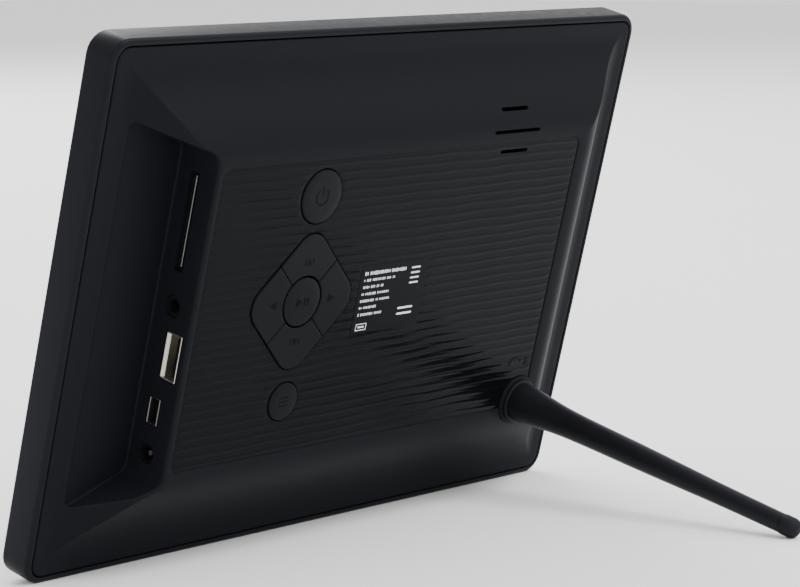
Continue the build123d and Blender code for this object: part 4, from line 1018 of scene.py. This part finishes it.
usb_a = mouth(*SOCKETS["usb_a"], 6.5, 2.8, BAY_X - 0.05, BAY_X - 13.2, 0.3, 0.75, 0.1)
piece("usb_a_folded_shell", usb_a, "housing", plated_steel, ["usb_a_shell"])
mini_usb = mouth(*SOCKETS["mini_usb"], 3.8, 1.9, BAY_X - 0.05, BAY_X - 8.6, 0.22, 0.1, 0.06)
piece("mini_usb_folded_shell", mini_usb, "housing", dull_steel, ["mini_usb_shell"])


def rolled_edge(z, y, half_z, x, radius):
    """A rolled sheet edge: a slim round bar along z with rounded ends."""
    share = np.array([-1, -0.92, -0.7, -0.35, 0])
    reach = np.concatenate([-half_z + radius * (1 + share), half_z - radius * (1 + share[::-1])])
    size = radius * np.sqrt(np.clip(1 - np.concatenate([share, share[::-1]]) ** 2, 0.0001, 1))
    angle = np.radians(np.arange(16) * 22.5)
    rows = [np.stack([x + r * np.cos(angle), y + r * np.sin(angle), np.full(16, z + at)], axis=-1)
            for at, r in zip(reach, size)]
    shape = Shape().grid(rows)
    shape.fan(rows[0], (x, y, z + reach[0]), flip=True)
    shape.fan(rows[-1], (x, y, z + reach[-1]))
    return shape


sd_z, sd_y = SOCKETS["sd"]
piece("sd_card_rolled_edge", rolled_edge(sd_z, sd_y - 0.2, 12.6, BAY_X - 1.25, 0.3), "housing", dull_steel)


# ---------------------------------------------------------------- marks on the bay's floor
def floor_marks():
    """Small moulded signs beside the sockets: a card, a headset, a plug, a small plug, a cell."""
    x = 81.5
    corners = [(x - 1.5, 21.5), (x + 1.5, 21.5), (x + 1.5, 27.5), (x + 0.4, 28.6), (x - 1.5, 28.6)]
    card = rounded_polygon(corners, [0.2] * 5, 3)
    marks = [card, icon_ring(1.7, 0.5, -80, 80, (x - 0.3, 2.8)), icon_bar(1.3, 0.7, (x - 0.2, 4.9)),
             icon_bar(1.3, 0.7, (x - 0.2, 0.7))]
    for z, size in ((-11.5, 1.0), (-27.5, 0.8)):
        marks += [icon_bar(4.6 * size, 0.4, (x, z), UP),
                  icon_bar(1.6 * size, 0.4, (x + 0.9 * size, z + 0.6), 0.7),
                  icon_wedge(1.3 * size, (x, z + 2.6 * size), UP),
                  icon_ring(0.55 * size, 0.35, 0, 350, (x, z - 2.6 * size))]
    return marks + [icon_ring(1.2, 0.4, -60, 240, (x, -40.0)), icon_bar(1.6, 0.4, (x - 2.4, -40.0)),
                    icon_bar(1.6, 0.4, (x + 2.4, -40.0))]


def on_floor(loops, rise):
    """Raised marks that follow the sloping floor."""
    shape = relief(loops, 0.0, rise + 0.2, 0.04)
    shape.points = [p + np.stack([0 * p[:, 0], bay_floor(p[:, [0, 2]]) - 0.2, 0 * p[:, 0]], axis=-1)
                    for p in shape.points]
    return shape


piece("bay_floor_marks", on_floor(floor_marks(), 0.12), "housing", moulded_black, angle=20)

lock_marks = [icon_ring(2.6, 0.45, 20, 160, (-66.5, -29.0)), icon_wedge(1.5, (-63.9, -28.0), DOWN),
              icon_bar(2.0, 1.6, (-72.0, -28.6)), icon_ring(0.8, 0.35, 0, 180, (-72.0, -27.8))]
piece("turning_marks", relief(lock_marks, FIELD_Y - 0.1, FIELD_Y + 0.16, 0.04), "housing", icon_black,
      angle=20)

# ---------------------------------------------------------------- camera, light and floor
camera_data = bpy.data.cameras.new("camera")
camera_data.lens = 135.87
camera_data.sensor_width = 36.0
camera = bpy.data.objects.new("camera", camera_data)
bpy.context.scene.collection.objects.link(camera)
camera_at = Vector((0.6262, 0.5212, 0.1742))
look = Vector((-0.75076, -0.64846, -0.1259)).normalized()
roll = math.radians(-0.268)
facing = look.to_track_quat("-Z", "Y").to_matrix().to_4x4() @ Matrix.Rotation(roll, 4, "Z")
camera.matrix_world = Matrix.Translation(camera_at) @ facing
bpy.context.scene.camera = camera


def area_light(name, at, towards, size, power):
    """A square soft light at one point, facing another; metres and watts."""
    data = bpy.data.lights.new(name, "AREA")
    data.energy = power
    data.shape = "SQUARE"
    data.size = size
    lamp = bpy.data.objects.new(name, data)
    direction = Vector(towards) - Vector(at)
    lamp.matrix_world = Matrix.Translation(at) @ direction.to_track_quat("-Z", "Y").to_matrix().to_4x4()
    bpy.context.scene.collection.objects.link(lamp)


area_light("high_softbox", (-0.5, 0.9, 1.6), (-0.2, -0.1, 0.0), 1.4, 34)
area_light("side_softbox", (1.3, 1.1, 0.7), (0, 0, 0.07), 0.6, 7)
area_light("front_fill", (-0.8, -1.7, 1.3), (-0.3, -0.6, 0.0), 1.4, 44)

world = bpy.data.worlds.new("studio")
world.use_nodes = True
background = world.node_tree.nodes["Background"]
background.inputs["Color"].default_value = (1, 1, 1, 1)
background.inputs["Strength"].default_value = 1.25
bpy.context.scene.world = world

floor_mesh = bpy.data.meshes.new("floor")
floor_mesh.from_pydata([(-4, -4, 0), (4, -4, 0), (4, 4, 0), (-4, 4, 0)], [], [(0, 1, 2, 3)])
floor = bpy.data.objects.new("floor", floor_mesh)
bpy.context.scene.collection.objects.link(floor)
floor_paper, _, _ = principled("pale_paper", "#f4f4f3", 0.7)
floor_mesh.materials.append(floor_paper)
floor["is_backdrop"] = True

boxes = {"cad": CAD_BOX, "visual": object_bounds()}
boxes = {kind: [[float(c) for c in corner] for corner in box] for kind, box in boxes.items()}
